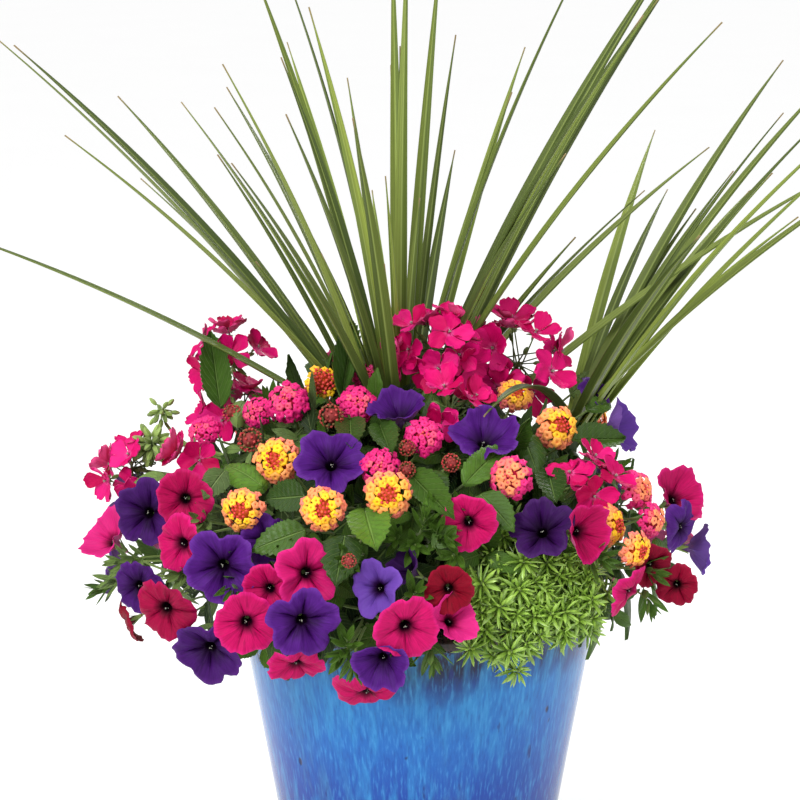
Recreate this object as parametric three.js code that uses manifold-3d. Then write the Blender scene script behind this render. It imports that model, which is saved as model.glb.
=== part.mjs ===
// A mixed summer planter: lantana, petunias, zonal geraniums, trailing sedum and two grassy spike
// plants growing in a tall glazed pot. Millimetres, +Z up, origin at the centre of the pot's base.
// The front of the planting faces -Y, and +X is to the right of someone looking at it.
import * as THREE from "three";
import { mergeVertices } from "three/addons/utils/BufferGeometryUtils.js";
import Module from "manifold-3d";

const wasm = await Module();
wasm.setup();

// Driving dimensions of the pot and its soil.
const POT_HEIGHT = 360;
const RIM_RADIUS = 178;
const RIM_BAND = 17;
const RIM_ROLL = 5;
const SHOULDER_RADIUS = 168;
const BASE_RADIUS = 108;
const FOOT_BEVEL = 4;
const LIP_BEVEL = 4;
const WALL = 12;
const FLOOR_THICKNESS = 16;
const DRAIN_RADIUS = 9;
const DRAIN_CIRCLE = 58;
const DRAIN_COUNT = 3;
const SOIL_BELOW_RIM = 24;
const SOIL_MOUND = 9;
const GAP = 0.35;
const POT_SIDES = 24;

// The planting is a dome over the rim: half axes of the bloom layer and of the leafy core in it.
const DOME_CENTRE = new THREE.Vector3(-14, 0, POT_HEIGHT + 25);
const BLOOM_LAYER = { across: 283, up: 176, down: 128 };
const CORE_LAYER = { across: 166, up: 112, lowest: POT_HEIGHT + 6, hole: 60 };

// How the planting is measured: seen from the front and LOOK_DOWN degrees above, on a picture of
// 800 by 800 pixels, in which one pixel is PIXEL_MM at the middle of the rim.
const LOOK_DOWN = THREE.MathUtils.degToRad(12);
const PIXEL_MM = 0.942;
const PICTURE_MIDDLE = 400;
const RIM_PIXEL = { x: 418, y: 583 };
const EYE_DISTANCE = 2800;

const RIGHT = new THREE.Vector3(1, 0, 0);
const AHEAD = new THREE.Vector3(0, Math.cos(LOOK_DOWN), -Math.sin(LOOK_DOWN));
const UPWARD = new THREE.Vector3(0, Math.sin(LOOK_DOWN), Math.cos(LOOK_DOWN));
const WORLD_UP = new THREE.Vector3(0, 0, 1);

// Repeatable random numbers from 0 to 1.
function seeded(seed) {
  let state = seed;
  return () => {
    state = (Math.imul(state, 1664525) + 1013904223) >>> 0;
    return state / 4294967296;
  };
}

// Places in the planting

const EYE = new THREE.Vector3(0, 0, POT_HEIGHT)
  .addScaledVector(RIGHT, (PICTURE_MIDDLE - RIM_PIXEL.x) * PIXEL_MM)
  .addScaledVector(UPWARD, (RIM_PIXEL.y - PICTURE_MIDDLE) * PIXEL_MM)
  .addScaledVector(AHEAD, -EYE_DISTANCE);

// The line of sight through a pixel, scaled so that its length is 1 along AHEAD.
function sight(px, py) {
  const mmPerPixel = PIXEL_MM / EYE_DISTANCE;
  return AHEAD.clone()
    .addScaledVector(RIGHT, (px - PICTURE_MIDDLE) * mmPerPixel)
    .addScaledVector(UPWARD, (PICTURE_MIDDLE - py) * mmPerPixel);
}

// How many millimetres one pixel spans at a place.
function mmPerPixelAt(place) {
  return (PIXEL_MM * place.clone().sub(EYE).dot(AHEAD)) / EYE_DISTANCE;
}

// The place behind a pixel, depth mm beyond the middle of the rim.
function atDepth(px, py, depth) {
  return EYE.clone().addScaledVector(sight(px, py), EYE_DISTANCE + depth);
}

// The place on the bloom layer that a pixel shows, moved nearer mm towards the viewer.
function onDome(px, py, nearer) {
  const ray = sight(px, py);
  const from = EYE.clone().sub(DOME_CENTRE);
  const meet = (vertical) => {
    const scale = new THREE.Vector3(1 / BLOOM_LAYER.across, 1 / BLOOM_LAYER.across, 1 / vertical);
    const a = ray.clone().multiply(scale);
    const b = from.clone().multiply(scale);
    const half = a.dot(b);
    const root = half * half - a.lengthSq() * (b.lengthSq() - 1);
    return (-half - Math.sqrt(Math.max(root, 0))) / a.lengthSq();
  };
  let along = meet(BLOOM_LAYER.up);
  if (EYE.z + ray.z * along < DOME_CENTRE.z) along = meet(BLOOM_LAYER.down);
  return EYE.clone().addScaledVector(ray, along - nearer);
}

// A place on a dome, by its bearing (0 in front, 90 to the right) and its steepness (90 on top).
function onLayer(bearing, steepness, across, up) {
  const turn = THREE.MathUtils.degToRad(bearing);
  const steep = THREE.MathUtils.degToRad(steepness);
  const flat = Math.cos(steep) * across;
  return new THREE.Vector3(Math.sin(turn) * flat, -Math.cos(turn) * flat, Math.sin(steep) * up)
    .add(DOME_CENTRE);
}

// The bearing and steepness at which a place lies on the bloom layer.
function layerAngles(place) {
  const p = place.clone().sub(DOME_CENTRE);
  const flat = Math.hypot(p.x, p.y) / BLOOM_LAYER.across;
  return {
    bearing: THREE.MathUtils.radToDeg(Math.atan2(p.x, -p.y)),
    steepness: THREE.MathUtils.radToDeg(Math.atan2(p.z / BLOOM_LAYER.up, flat)),
  };
}

// The direction that a bloom faces: turn degrees to the right of the front, lift degrees upward.
function facing(turn, lift) {
  const t = THREE.MathUtils.degToRad(turn);
  const l = THREE.MathUtils.degToRad(lift);
  return new THREE.Vector3(Math.sin(t) * Math.cos(l), -Math.cos(t) * Math.cos(l), Math.sin(l));
}

// A frame at a place whose local +Z points along a direction, spun about it.
function frameAt(place, direction, spin) {
  const turn = new THREE.Quaternion().setFromUnitVectors(WORLD_UP, direction.clone().normalize());
  const about = new THREE.Quaternion().setFromAxisAngle(WORLD_UP, spin);
  return new THREE.Matrix4().compose(place, turn.multiply(about), new THREE.Vector3(1, 1, 1));
}

// Solids

// A closed three.js geometry as a solid.
function solidOf(geometry) {
  const bare = geometry.clone();
  bare.deleteAttribute("normal");
  bare.deleteAttribute("uv");
  const merged = mergeVertices(bare, 1e-4);
  const kept = [];
  for (let i = 0; i < merged.index.count; i += 3) {
    const [a, b, c] = [0, 1, 2].map((k) => merged.index.getX(i + k));
    if (a !== b && b !== c && a !== c) kept.push(a, b, c);
  }
  const build = (triangles) => new wasm.Manifold(new wasm.Mesh({
    numProp: 3,
    vertProperties: merged.attributes.position.array,
    triVerts: new Uint32Array(triangles),
  }));
  const solid = build(kept);
  return solid.volume() >= 0 ? solid : build(kept.reverse());
}

// Moves every vertex of a geometry by a rule.
function reshape(geometry, rule) {
  const position = geometry.attributes.position;
  const point = new THREE.Vector3();
  for (let i = 0; i < position.count; i += 1) {
    point.fromBufferAttribute(position, i);
    rule(point);
    position.setXYZ(i, point.x, point.y, point.z);
  }
  return geometry;
}

function placed(solid, matrix) {
  return solid.transform(matrix.elements);
}

function joined(solids) {
  return wasm.Manifold.union(solids);
}

// The largest closed body of a solid: what a cut leaves loose is dropped.
function oneBody(solid) {
  return solid.decompose().sort((a, b) => b.volume() - a.volume())[0];
}

// A turned shape from [radius, height] points, closed on its axis, with its axis along +Z.
function turned(profile, sides) {
  const points = profile.map(([radius, height]) => new THREE.Vector2(radius, height));
  return new THREE.LatheGeometry(points, sides).rotateX(Math.PI / 2);
}

// A straight three-sided stem from one place to another.
function stem(start, end, radius) {
  const section = new THREE.Shape();
  for (let i = 0; i < 3; i += 1) {
    const angle = (i * 2 * Math.PI) / 3;
    section[i ? "lineTo" : "moveTo"](Math.cos(angle) * radius, Math.sin(angle) * radius);
  }
  const path = new THREE.LineCurve3(start, end);
  return solidOf(new THREE.ExtrudeGeometry(section, { extrudePath: path, steps: 1 }));
}

// A blade that leaves its base along a direction and sags: width and lift along it are rules of
// the share s from base to tip, and fold raises its edges above the rib.
function blade({ base, along, faceUp, length, width, sag, fold, thickness, segments, across }) {
  const ahead = along.clone().normalize();
  const side = ahead.clone().cross(faceUp).normalize();
  const top = side.clone().cross(ahead).normalize();
  const box = new THREE.BoxGeometry(1, 1, 1, across, segments, 1);
  return solidOf(reshape(box, (p) => {
    const s = p.y + 0.5;
    const half = p.x * width(s);
    const rise = p.z * thickness + Math.abs(half) * fold - sag * s * s * length;
    const offset = side.clone().multiplyScalar(half)
      .addScaledVector(ahead, s * length)
      .addScaledVector(top, rise);
    p.copy(base).add(offset);
  }));
}

// Pot and soil

function makePot() {
  const bandFoot = POT_HEIGHT - RIM_BAND;
  const outer = turned([
    [0, 0],
    [BASE_RADIUS - FOOT_BEVEL, 0],
    [BASE_RADIUS, FOOT_BEVEL],
    [SHOULDER_RADIUS, bandFoot - 3],
    [RIM_RADIUS - RIM_ROLL, bandFoot],
    [RIM_RADIUS, bandFoot + RIM_ROLL],
    [RIM_RADIUS, POT_HEIGHT - RIM_ROLL],
    [RIM_RADIUS - RIM_ROLL, POT_HEIGHT],
    [SHOULDER_RADIUS - WALL + LIP_BEVEL, POT_HEIGHT],
    [SHOULDER_RADIUS - WALL, POT_HEIGHT - LIP_BEVEL],
    [BASE_RADIUS - WALL, FLOOR_THICKNESS],
    [0, FLOOR_THICKNESS],
  ], POT_SIDES);
  const above = FLOOR_THICKNESS + 1;
  const drain = solidOf(turned([[0, -1], [DRAIN_RADIUS, -1], [DRAIN_RADIUS, above], [0, above]], 8));
  const drains = [];
  for (let i = 0; i < DRAIN_COUNT; i += 1) {
    const angle = (i * 2 * Math.PI) / DRAIN_COUNT;
    const [x, y] = [Math.cos(angle) * DRAIN_CIRCLE, Math.sin(angle) * DRAIN_CIRCLE];
    drains.push(drain.translate(x, y, 0));
  }
  return solidOf(outer).subtract(joined(drains));
}

// The inside radius of the pot at a height.
function insideRadius(z) {
  const share = (z - FLOOR_THICKNESS) / (POT_HEIGHT - LIP_BEVEL - FLOOR_THICKNESS);
  return BASE_RADIUS - WALL + share * (SHOULDER_RADIUS - BASE_RADIUS);
}

const SOIL_TOP = POT_HEIGHT - SOIL_BELOW_RIM;

// The height of the soil, a low cone, at a distance from the pot's axis.
function soilHeight(radius) {
  return SOIL_TOP + SOIL_MOUND * (1 - radius / insideRadius(SOIL_TOP));
}

function makeSoil(trunks) {
  const floor = FLOOR_THICKNESS + GAP;
  const edge = insideRadius(SOIL_TOP) - 2 * GAP;
  const body = turned([
    [0, floor],
    [insideRadius(floor) - 2 * GAP, floor],
    [edge, soilHeight(edge)],
    [0, soilHeight(0)],
  ], POT_SIDES);
  return solidOf(body).subtract(joined(trunks));
}

// Spike plants

const TRUNK_RADIUS = 15;
const TRUNK_DEPTH = 55;
const SPIKE = { segments: 4, width: 13, base: 5, tip: 1.4, thickness: 1.3, arch: 0.035, twist: 0.5 };

// Each crown: where its trunk stands, and its leaf tips as [pixel x, pixel y, depth of the tip].
const CROWN_A = {
  name: "spike_plant_centre",
  foot: new THREE.Vector3(-12, 4, 0),
  head: new THREE.Vector3(-17, 4, POT_HEIGHT + 128),
  tips: [
    [-75, 222, 40], [65, 135, -150], [14, 45, 70], [-8, 34, -40], [118, 96, 190], [223, 64, -240],
    [227, 87, 260], [232, 163, -300], [250, -40, 110], [280, -45, -90], [287, 42, 250],
    [309, 7, -200], [353, 118, -330], [392, -75, 60], [391, 65, 300], [408, -85, -70],
    [442, -62, 120], [525, 47, 290], [600, -75, -60], [680, -62, 60], [643, 15, -190],
    [690, -74, 170], [700, -66, -20], [712, -80, 90], [722, 22, -90], [709, 147, 240],
    [400, 46, 40], [455, 150, 150], [372, 190, 370], [850, 165, 150],
  ],
};
const CROWN_B = {
  name: "spike_plant_right",
  foot: new THREE.Vector3(88, 34, 0),
  head: new THREE.Vector3(146, 52, POT_HEIGHT + 146),
  tips: [
    [783, 60, 250], [835, 72, 60], [842, 98, 190], [852, 118, -70], [750, 190, 330],
    [862, 140, 110], [876, 172, 0], [700, 235, -240], [655, 130, 380], [484, 418, -150],
  ],
};

// The middle of a leaning trunk at a height.
function trunkMiddle(crown, z) {
  const bottom = SOIL_TOP - TRUNK_DEPTH;
  const share = (z - bottom) / (crown.head.z - bottom);
  const x = THREE.MathUtils.lerp(crown.foot.x, crown.head.x, share);
  const y = THREE.MathUtils.lerp(crown.foot.y, crown.head.y, share);
  return new THREE.Vector3(x, y, z);
}

function trunk(crown, grow) {
  const radius = TRUNK_RADIUS + grow;
  const bottom = SOIL_TOP - TRUNK_DEPTH - grow;
  const top = crown.head.z + grow;
  const shape = turned([[0, bottom], [radius, bottom], [radius * 0.8, top], [0, top + 8]], 8);
  return solidOf(reshape(shape, (p) => {
    const middle = trunkMiddle(crown, p.z);
    p.x += middle.x;
    p.y += middle.y;
  }));
}

// One long leaf: it leaves the trunk steeply and arches over to its tip.
function spikeLeaf(crown, [px, py, depth], index, grow) {
  const tip = atDepth(px, py, depth);
  const out = new THREE.Vector3(tip.x - crown.head.x, tip.y - crown.head.y, 0).normalize();
  const base = trunkMiddle(crown, crown.head.z - 5 - 8 * (index % 6)).addScaledVector(out, 4);
  const reach = tip.clone().sub(base);
  const arch = SPIKE.arch * reach.length();
  const side = new THREE.Vector3(-out.y, out.x, 0);
  const top = side.clone().cross(reach).normalize();
  if (top.z < 0) top.negate();
  const twist = SPIKE.twist * Math.sin(index * 2.4);
  const box = new THREE.BoxGeometry(1, 1, 1, 1, SPIKE.segments, 1);
  return solidOf(reshape(box, (p) => {
    const s = p.y + 0.5;
    const lift = 4 * arch * s * (1 - s);
    const taper = s < 0.5 ? SPIKE.width : SPIKE.width * (1 - (2 * s - 1) ** 1.6);
    const half = p.x * ((s === 0 ? SPIKE.base : Math.max(taper, SPIKE.tip)) + 2 * grow);
    const face = side.clone().applyAxisAngle(reach.clone().normalize(), twist * s);
    const normal = reach.clone().cross(face).normalize();
    const past = s > 0.99 ? grow / 500 : 0;
    const depth = p.z * (SPIKE.thickness + 2 * grow);
    p.copy(base)
      .addScaledVector(reach, s + past)
      .addScaledVector(top, lift)
      .addScaledVector(face, half)
      .addScaledVector(normal, depth);
  }));
}

function makeCrown(crown, grow) {
  const leaves = crown.tips.map((tip, index) => spikeLeaf(crown, tip, index, grow));
  return joined([trunk(crown, grow), ...leaves]);
}

// Blooms. Each maker gives a solid in a frame whose +Z the bloom faces, its stem end at -Z.

// A turned bloom: its wide rings follow a rule with 1 at even and -1 at odd points, and rings
// narrower than the neck have half as many points.
function flower(profile, sides, neck, rule) {
  const step = (2 * Math.PI) / sides;
  return reshape(turned(profile, sides), (p) => {
    const flat = Math.hypot(p.x, p.y);
    const index = Math.round(Math.atan2(p.x, -p.y) / step);
    const odd = Math.abs(index) % 2;
    if (flat > neck) {
      rule(p, flat, odd ? -1 : 1);
    } else if (flat > 0.01) {
      const angle = (index - odd) * step;
      p.x = Math.sin(angle) * flat;
      p.y = -Math.cos(angle) * flat;
    }
  });
}

// The outer edge of a bloom: sharp, or blunt on the larger copy that keeps others clear.
function brim(radius, height, grow) {
  return grow ? [[radius + grow, height + grow], [radius + grow, height - grow]] : [[radius, height]];
}

// A petunia: a five-lobed trumpet that narrows to a tube.
function petunia(radius, grow) {
  const profile = [
    [0, -0.42 * radius + grow],
    ...brim(radius, 0, grow),
    [0.24 * radius + grow, -0.46 * radius - grow],
    [0, -radius - grow],
  ];
  return solidOf(flower(profile, 10, 0.5 * radius, (p, flat, wave) => {
    p.x *= 1 + 0.06 * wave;
    p.y *= 1 + 0.06 * wave;
    p.z += 0.07 * radius * wave;
  }));
}

// A lantana head: a dome whose florets stand out in two staggered rings round the middle one.
function lantanaHead(radius, grow) {
  const profile = [
    [0, 0.85 * radius + 2 * grow],
    [0.55 * radius + grow, 0.66 * radius + grow],
    [0.98 * radius + 2 * grow, 0.2 * radius],
    [0.2 * radius + grow, -0.2 * radius - grow],
    [0, -0.5 * radius - grow],
  ];
  return solidOf(flower(profile, 8, 0.4 * radius, (p, flat, wave) => {
    const bump = flat > 0.8 * radius ? wave : -wave;
    p.multiplyScalar(grow ? 1.12 : 1 + 0.12 * bump);
  }));
}

// A geranium floret in a shallow cup of five rounded petals, whose stalk ends at a place.
function geraniumFloret(radius, end, grow) {
  const profile = [
    [0, grow],
    ...brim(radius, 3, grow),
    [GERANIUM.pedicel + grow, -6 - grow],
    [0, -100],
  ];
  const shape = flower(profile, 10, 2 * GERANIUM.pedicel, (p, flat, wave) => {
    p.x *= 1 + 0.16 * wave;
    p.y *= 1 + 0.16 * wave;
  });
  return solidOf(reshape(shape, (p) => {
    if (p.z < -50) p.copy(end);
  }));
}

// Directions spread evenly over a cap round +Z, widest degrees from it at most.
function capDirections(count, widest) {
  const golden = Math.PI * (3 - Math.sqrt(5));
  const directions = [];
  for (let i = 0; i < count; i += 1) {
    const polar = THREE.MathUtils.degToRad(widest) * Math.sqrt((i + 0.5) / count);
    directions.push(new THREE.Vector3(
      Math.sin(polar) * Math.cos(i * golden),
      Math.sin(polar) * Math.sin(i * golden),
      Math.cos(polar),
    ));
  }
  return directions;
}

const GERANIUM = { largest: 18, pedicel: 2.2, hub: 4.5, widest: 88 };

// A geranium head: florets on thin stalks that spread from one point of the stem.
function geraniumHead(radius, count, grow) {
  const hub = new THREE.Vector3(0, 0, -0.5 * radius);
  const knot = new THREE.OctahedronGeometry(GERANIUM.hub + grow, 0);
  const parts = [solidOf(knot).translate(hub.x, hub.y, hub.z)];
  const reach = 0.92 * radius;
  const cap = 2 * Math.PI * (1 - Math.cos(THREE.MathUtils.degToRad(GERANIUM.widest))) * reach ** 2;
  const size = Math.min(GERANIUM.largest, 0.5 * Math.sqrt(cap / count));
  for (const direction of capDirections(count, GERANIUM.widest)) {
    const centre = hub.clone().addScaledVector(direction, reach);
    const face = direction.clone().add(new THREE.Vector3(0, 0, 0.25));
    const frame = frameAt(centre, face, direction.x * 3);
    const past = hub.clone().addScaledVector(direction, -0.25 * reach);
    const end = past.applyMatrix4(frame.clone().invert());
    parts.push(placed(geraniumFloret(size, end, grow), frame));
  }
  return joined(parts);
}

// A cluster of geranium buds, pointed drops hanging round the stem's end.
function geraniumBuds(radius, count, grow) {
  const widest = [0.24 * radius + grow, 0.3 * radius];
  const bud = turned([[0, -0.2 * radius], widest, [0, 0.8 * radius + grow]], 3);
  const parts = [solidOf(new THREE.OctahedronGeometry(0.3 * radius + grow, 0))];
  for (const direction of capDirections(count, 120)) {
    const place = direction.clone().multiplyScalar(0.25 * radius);
    parts.push(placed(solidOf(bud), frameAt(place, direction, 0)));
  }
  return joined(parts);
}

// A spray forks this far outside the core, and is rooted this deep in it.
const FORK_HEIGHT = 24;
const ROOT_DEPTH = 14;

const KINDS = {
  petunia: { make: ([r], grow) => petunia(r, grow), stalk: 1.5, neck: (r) => 0.9 * r },
  lantana: { make: ([r], grow) => lantanaHead(r, grow), stalk: 1.5, neck: (r) => 0.4 * r },
  geranium: { make: ([r, n], grow) => geraniumHead(r, n, grow), stalk: 2.4, neck: (r) => 0.5 * r },
  buds: { make: ([r, n], grow) => geraniumBuds(r, n, grow), stalk: 2.2, neck: (r) => 0.1 * r },
};

// Sprays of the front: blooms as [pixel x, pixel y, radius, turn, lift, nearer, florets].
const SPRAYS = [
  { name: "petunia_magenta_1", kind: "petunia", slot: "petunia_magenta", blooms: [
    [184, 499, 28, -8, 10, 6], [179, 545, 29, -32, -2, 24]] },
  { name: "petunia_magenta_2", kind: "petunia", slot: "petunia_magenta", blooms: [
    [109, 538, 27, -45, 30, 0], [163, 611, 31, -22, -12, 22], [123, 625, 24, -75, -25, 0]] },
  { name: "petunia_magenta_3", kind: "petunia", slot: "petunia_magenta", blooms: [
    [246, 624, 32, 0, -2, 34], [308, 573, 31, 14, 12, 8], [268, 590, 26, -15, 0, 0]] },
  { name: "petunia_magenta_4", kind: "petunia", slot: "petunia_magenta", blooms: [
    [297, 669, 29, 8, -48, 0], [366, 699, 32, -3, -52, 0]] },
  { name: "petunia_magenta_5", kind: "petunia", slot: "petunia_magenta", blooms: [
    [407, 629, 33, 12, -8, 22], [452, 620, 25, 35, 30, 0], [449, 590, 25, 4, 0, 12]] },
  { name: "petunia_magenta_6", kind: "petunia", slot: "petunia_magenta", blooms: [
    [469, 523, 28, 0, 4, 8]] },
  { name: "petunia_magenta_7", kind: "petunia", slot: "petunia_magenta", blooms: [
    [677, 497, 28, 38, 10, 0], [582, 532, 26, 25, 5, 10]] },
  { name: "petunia_magenta_8", kind: "petunia", slot: "petunia_magenta", blooms: [
    [634, 594, 26, 62, -28, 0], [677, 586, 21, -5, -5, 20], [653, 566, 22, 30, -10, 0]] },
  { name: "petunia_purple_1", kind: "petunia", slot: "petunia_purple", blooms: [
    [145, 513, 31, -15, 5, 0], [137, 587, 26, -18, 0, 6]] },
  { name: "petunia_purple_2", kind: "petunia", slot: "petunia_purple", blooms: [
    [221, 567, 34, -12, 2, 14], [208, 652, 31, -8, -28, 0]] },
  { name: "petunia_purple_3", kind: "petunia", slot: "petunia_purple", blooms: [
    [303, 623, 34, 5, -3, 16], [382, 661, 28, -8, -18, 12]] },
  { name: "petunia_purple_4", kind: "petunia", slot: "petunia_purple", blooms: [
    [376, 588, 27, -35, 12, 4], [408, 570, 22, -60, 30, -14]] },
  { name: "petunia_purple_5", kind: "petunia", slot: "petunia_purple", blooms: [
    [331, 461, 34, 0, 45, 6], [268, 540, 26, 20, 10, -12]] },
  { name: "petunia_purple_6", kind: "petunia", slot: "petunia_purple", blooms: [
    [399, 413, 29, -20, 62, 0], [485, 437, 34, 12, 52, 4]] },
  { name: "petunia_purple_7", kind: "petunia", slot: "petunia_purple", blooms: [
    [541, 529, 31, -5, 25, 4]] },
  { name: "petunia_purple_8", kind: "petunia", slot: "petunia_purple", blooms: [
    [617, 427, 27, 72, 15, 0], [597, 392, 20, 60, 40, 14]] },
  { name: "petunia_purple_9", kind: "petunia", slot: "petunia_purple", blooms: [
    [686, 529, 27, 58, -8, 6], [697, 548, 25, 85, 0, -30]] },
  { name: "lantana_pink_1", kind: "lantana", slot: "lantana_pink", blooms: [
    [288, 403, 22, -20, 35, 4], [258, 412, 16, -30, 30, -10], [204, 432, 17, -40, 35, 0]] },
  { name: "lantana_pink_2", kind: "lantana", slot: "lantana_pink", blooms: [
    [357, 405, 19, 5, 30, 8], [368, 378, 15, 0, 50, -10]] },
  { name: "lantana_pink_3", kind: "lantana", slot: "lantana_pink", blooms: [
    [380, 468, 20, 0, 20, -6], [424, 437, 20, 0, 30, 6]] },
  { name: "lantana_pink_4", kind: "lantana", slot: "lantana_pink", blooms: [
    [511, 478, 22, -15, 15, 4]] },
  { name: "lantana_pink_5", kind: "lantana", slot: "lantana_pink", blooms: [
    [636, 490, 20, 50, 20, 4], [650, 520, 18, 60, 5, 0]] },
  { name: "lantana_gold_1", kind: "lantana", slot: "lantana_gold", blooms: [
    [322, 383, 18, 0, 45, 8]] },
  { name: "lantana_gold_2", kind: "lantana", slot: "lantana_gold", blooms: [
    [277, 460, 23, -12, 15, 8], [243, 509, 22, -15, 5, 16]] },
  { name: "lantana_gold_3", kind: "lantana", slot: "lantana_gold", blooms: [
    [322, 509, 23, 0, 10, 16], [388, 494, 24, 0, 12, 16]] },
  { name: "lantana_gold_4", kind: "lantana", slot: "lantana_gold", blooms: [
    [556, 428, 22, 30, 25, 6], [515, 396, 17, 10, 40, -12]] },
  { name: "lantana_gold_5", kind: "lantana", slot: "lantana_gold", blooms: [
    [607, 527, 20, 60, 10, 10], [634, 549, 18, 45, -5, 16]] },
  { name: "lantana_bud_1", kind: "lantana", slot: "lantana_bud", blooms: [
    [331, 416, 13, 0, 25, 14], [250, 440, 13, -15, 30, 6], [232, 413, 10, -25, 45, 6]] },
  { name: "lantana_bud_2", kind: "lantana", slot: "lantana_bud", blooms: [
    [451, 463, 10, 0, 20, 6], [407, 470, 9, 0, 10, 10], [407, 448, 9, 0, 20, 6]] },
  { name: "geranium_1", kind: "geranium", slot: "geranium_pink", blooms: [
    [434, 341, 42, -10, 40, 130, 6]] },
  { name: "geranium_2", kind: "geranium", slot: "geranium_pink", blooms: [
    [521, 352, 50, 10, 40, 74, 7]] },
  { name: "geranium_3", kind: "geranium", slot: "geranium_pink", blooms: [
    [458, 404, 30, 0, 35, 14, 3]] },
  { name: "geranium_4", kind: "geranium", slot: "geranium_pink", blooms: [
    [222, 347, 36, -45, 50, 0, 5]] },
  { name: "geranium_5", kind: "geranium", slot: "geranium_pink", blooms: [
    [118, 467, 32, -55, 15, 0, 4], [190, 462, 26, -25, 15, 2, 3]] },
  { name: "geranium_6", kind: "geranium", slot: "geranium_pink", blooms: [
    [594, 484, 34, 28, 18, 6, 5]] },
  { name: "geranium_buds", kind: "buds", slot: "geranium_bud", blooms: [
    [152, 443, 22, -30, 5, 16, 8], [162, 411, 16, -10, 70, 0, 5]] },
];

// Sprays of the sides and back: bearing and steepness of their middle; the blooms stand round it.
const BACK_SPRAYS = [
  { name: "petunia_magenta_back_1", kind: "petunia", middle: [112, 0], radius: 29 },
  { name: "petunia_magenta_back_2", kind: "petunia", middle: [166, -2], radius: 30 },
  { name: "petunia_magenta_back_3", kind: "petunia", middle: [232, 2], radius: 29 },
  { name: "petunia_purple_back_1", kind: "petunia", middle: [139, 4], radius: 29 },
  { name: "petunia_purple_back_2", kind: "petunia", middle: [199, 0], radius: 30 },
  { name: "petunia_purple_back_3", kind: "petunia", middle: [262, 6], radius: 29 },
  { name: "lantana_gold_back_1", kind: "lantana", middle: [128, 38], radius: 21 },
  { name: "lantana_gold_back_2", kind: "lantana", middle: [212, 36], radius: 21 },
  { name: "lantana_pink_back_1", kind: "lantana", middle: [172, 36], radius: 21 },
  { name: "geranium_back_1", kind: "geranium", middle: [194, 60], radius: 40, florets: 5 },
  { name: "geranium_back_2", kind: "geranium", middle: [248, 50], radius: 36, florets: 5 },
];
const AROUND = { petunia: [[-7, 7], [6, -9]], lantana: [[-9, 5], [8, -6]], geranium: [[0, 0]] };

// The blooms of a spray as places, facings, sizes and spins.
function bloomsOf(spray, index) {
  const random = seeded(1000 + 37 * index);
  if (spray.blooms) {
    return spray.blooms.map(([px, py, radius, turn, lift, nearer, florets]) => {
      const place = onDome(px, py, nearer);
      return {
        place,
        face: facing(turn, lift),
        size: [radius * mmPerPixelAt(place), florets],
        spin: random() * 2 * Math.PI,
      };
    });
  }
  return AROUND[spray.kind].map(([aside, above]) => {
    const bearing = spray.middle[0] + aside;
    const steepness = spray.middle[1] + above + 3 * (random() - 0.5);
    const up = steepness < 0 ? BLOOM_LAYER.down : BLOOM_LAYER.up;
    return {
      place: onLayer(bearing, steepness, BLOOM_LAYER.across - 6, up),
      face: facing(bearing + 16 * (random() - 0.5), 0.8 * steepness + 12 * random()),
      size: [spray.radius * (0.92 + 0.16 * random()), spray.florets],
      spin: random() * 2 * Math.PI,
    };
  });
}

// The place in the core below a place of the bloom layer, depth mm under the core's surface.
function rootOf(place, depth) {
  const { bearing, steepness } = layerAngles(place);
  const steep = Math.min(Math.max(steepness, -4), 70);
  return onLayer(bearing, steep, CORE_LAYER.across - depth, CORE_LAYER.up - depth);
}

// Where a spray forks, just outside the core, and where its stem is rooted in it.
function forkOf(blooms) {
  const middle = new THREE.Vector3();
  for (const bloom of blooms) middle.addScaledVector(bloom.place, 1 / blooms.length);
  return { fork: rootOf(middle, -FORK_HEIGHT), root: rootOf(middle, ROOT_DEPTH) };
}

// The material of a spray: its own, or that of the front sprays a back one is named after.
function slotOf(spray) {
  if (spray.slot) return spray.slot;
  return spray.kind === "geranium" ? "geranium_pink" : spray.name.split("_back_")[0];
}

function makeSpray(spray, index, grow) {
  const kind = KINDS[spray.kind];
  const blooms = bloomsOf(spray, index);
  const { fork, root } = forkOf(blooms);
  const out = fork.clone().sub(root).normalize();
  const parts = [stem(root, fork.clone().addScaledVector(out, 2), kind.stalk * 1.25 + grow)];
  for (const { place, face, size, spin } of blooms) {
    parts.push(placed(kind.make(size, grow), frameAt(place, face, spin)));
    const neck = place.clone().addScaledVector(face, -kind.neck(size[0]));
    parts.push(stem(fork, neck, kind.stalk + grow));
  }
  return joined(parts);
}

// The leafy cores

// How far the core keeps from the pot's inner wall.
const CORE_INSET = 18;

// The full ring of the core, from the soil up and out over the rim.
function coreRing(grow) {
  const { across, up, lowest, hole } = CORE_LAYER;
  const inner = SHOULDER_RADIUS - WALL - CORE_INSET;
  const profile = [
    [hole - grow, SOIL_TOP + SOIL_MOUND - grow],
    [inner + grow, SOIL_TOP + SOIL_MOUND - grow],
    [inner + grow, lowest - grow],
    [across - 4 + grow, lowest - grow],
  ];
  for (const steepness of [4, 26, 46, 62]) {
    const steep = THREE.MathUtils.degToRad(steepness);
    profile.push([(across + grow) * Math.cos(steep), DOME_CENTRE.z + (up + grow) * Math.sin(steep)]);
  }
  profile.push([hole - grow, DOME_CENTRE.z + (up + grow) * 0.94]);
  profile.push(profile[0]);
  return solidOf(turned(profile, 24)).translate(DOME_CENTRE.x, DOME_CENTRE.y, 0);
}

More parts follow.
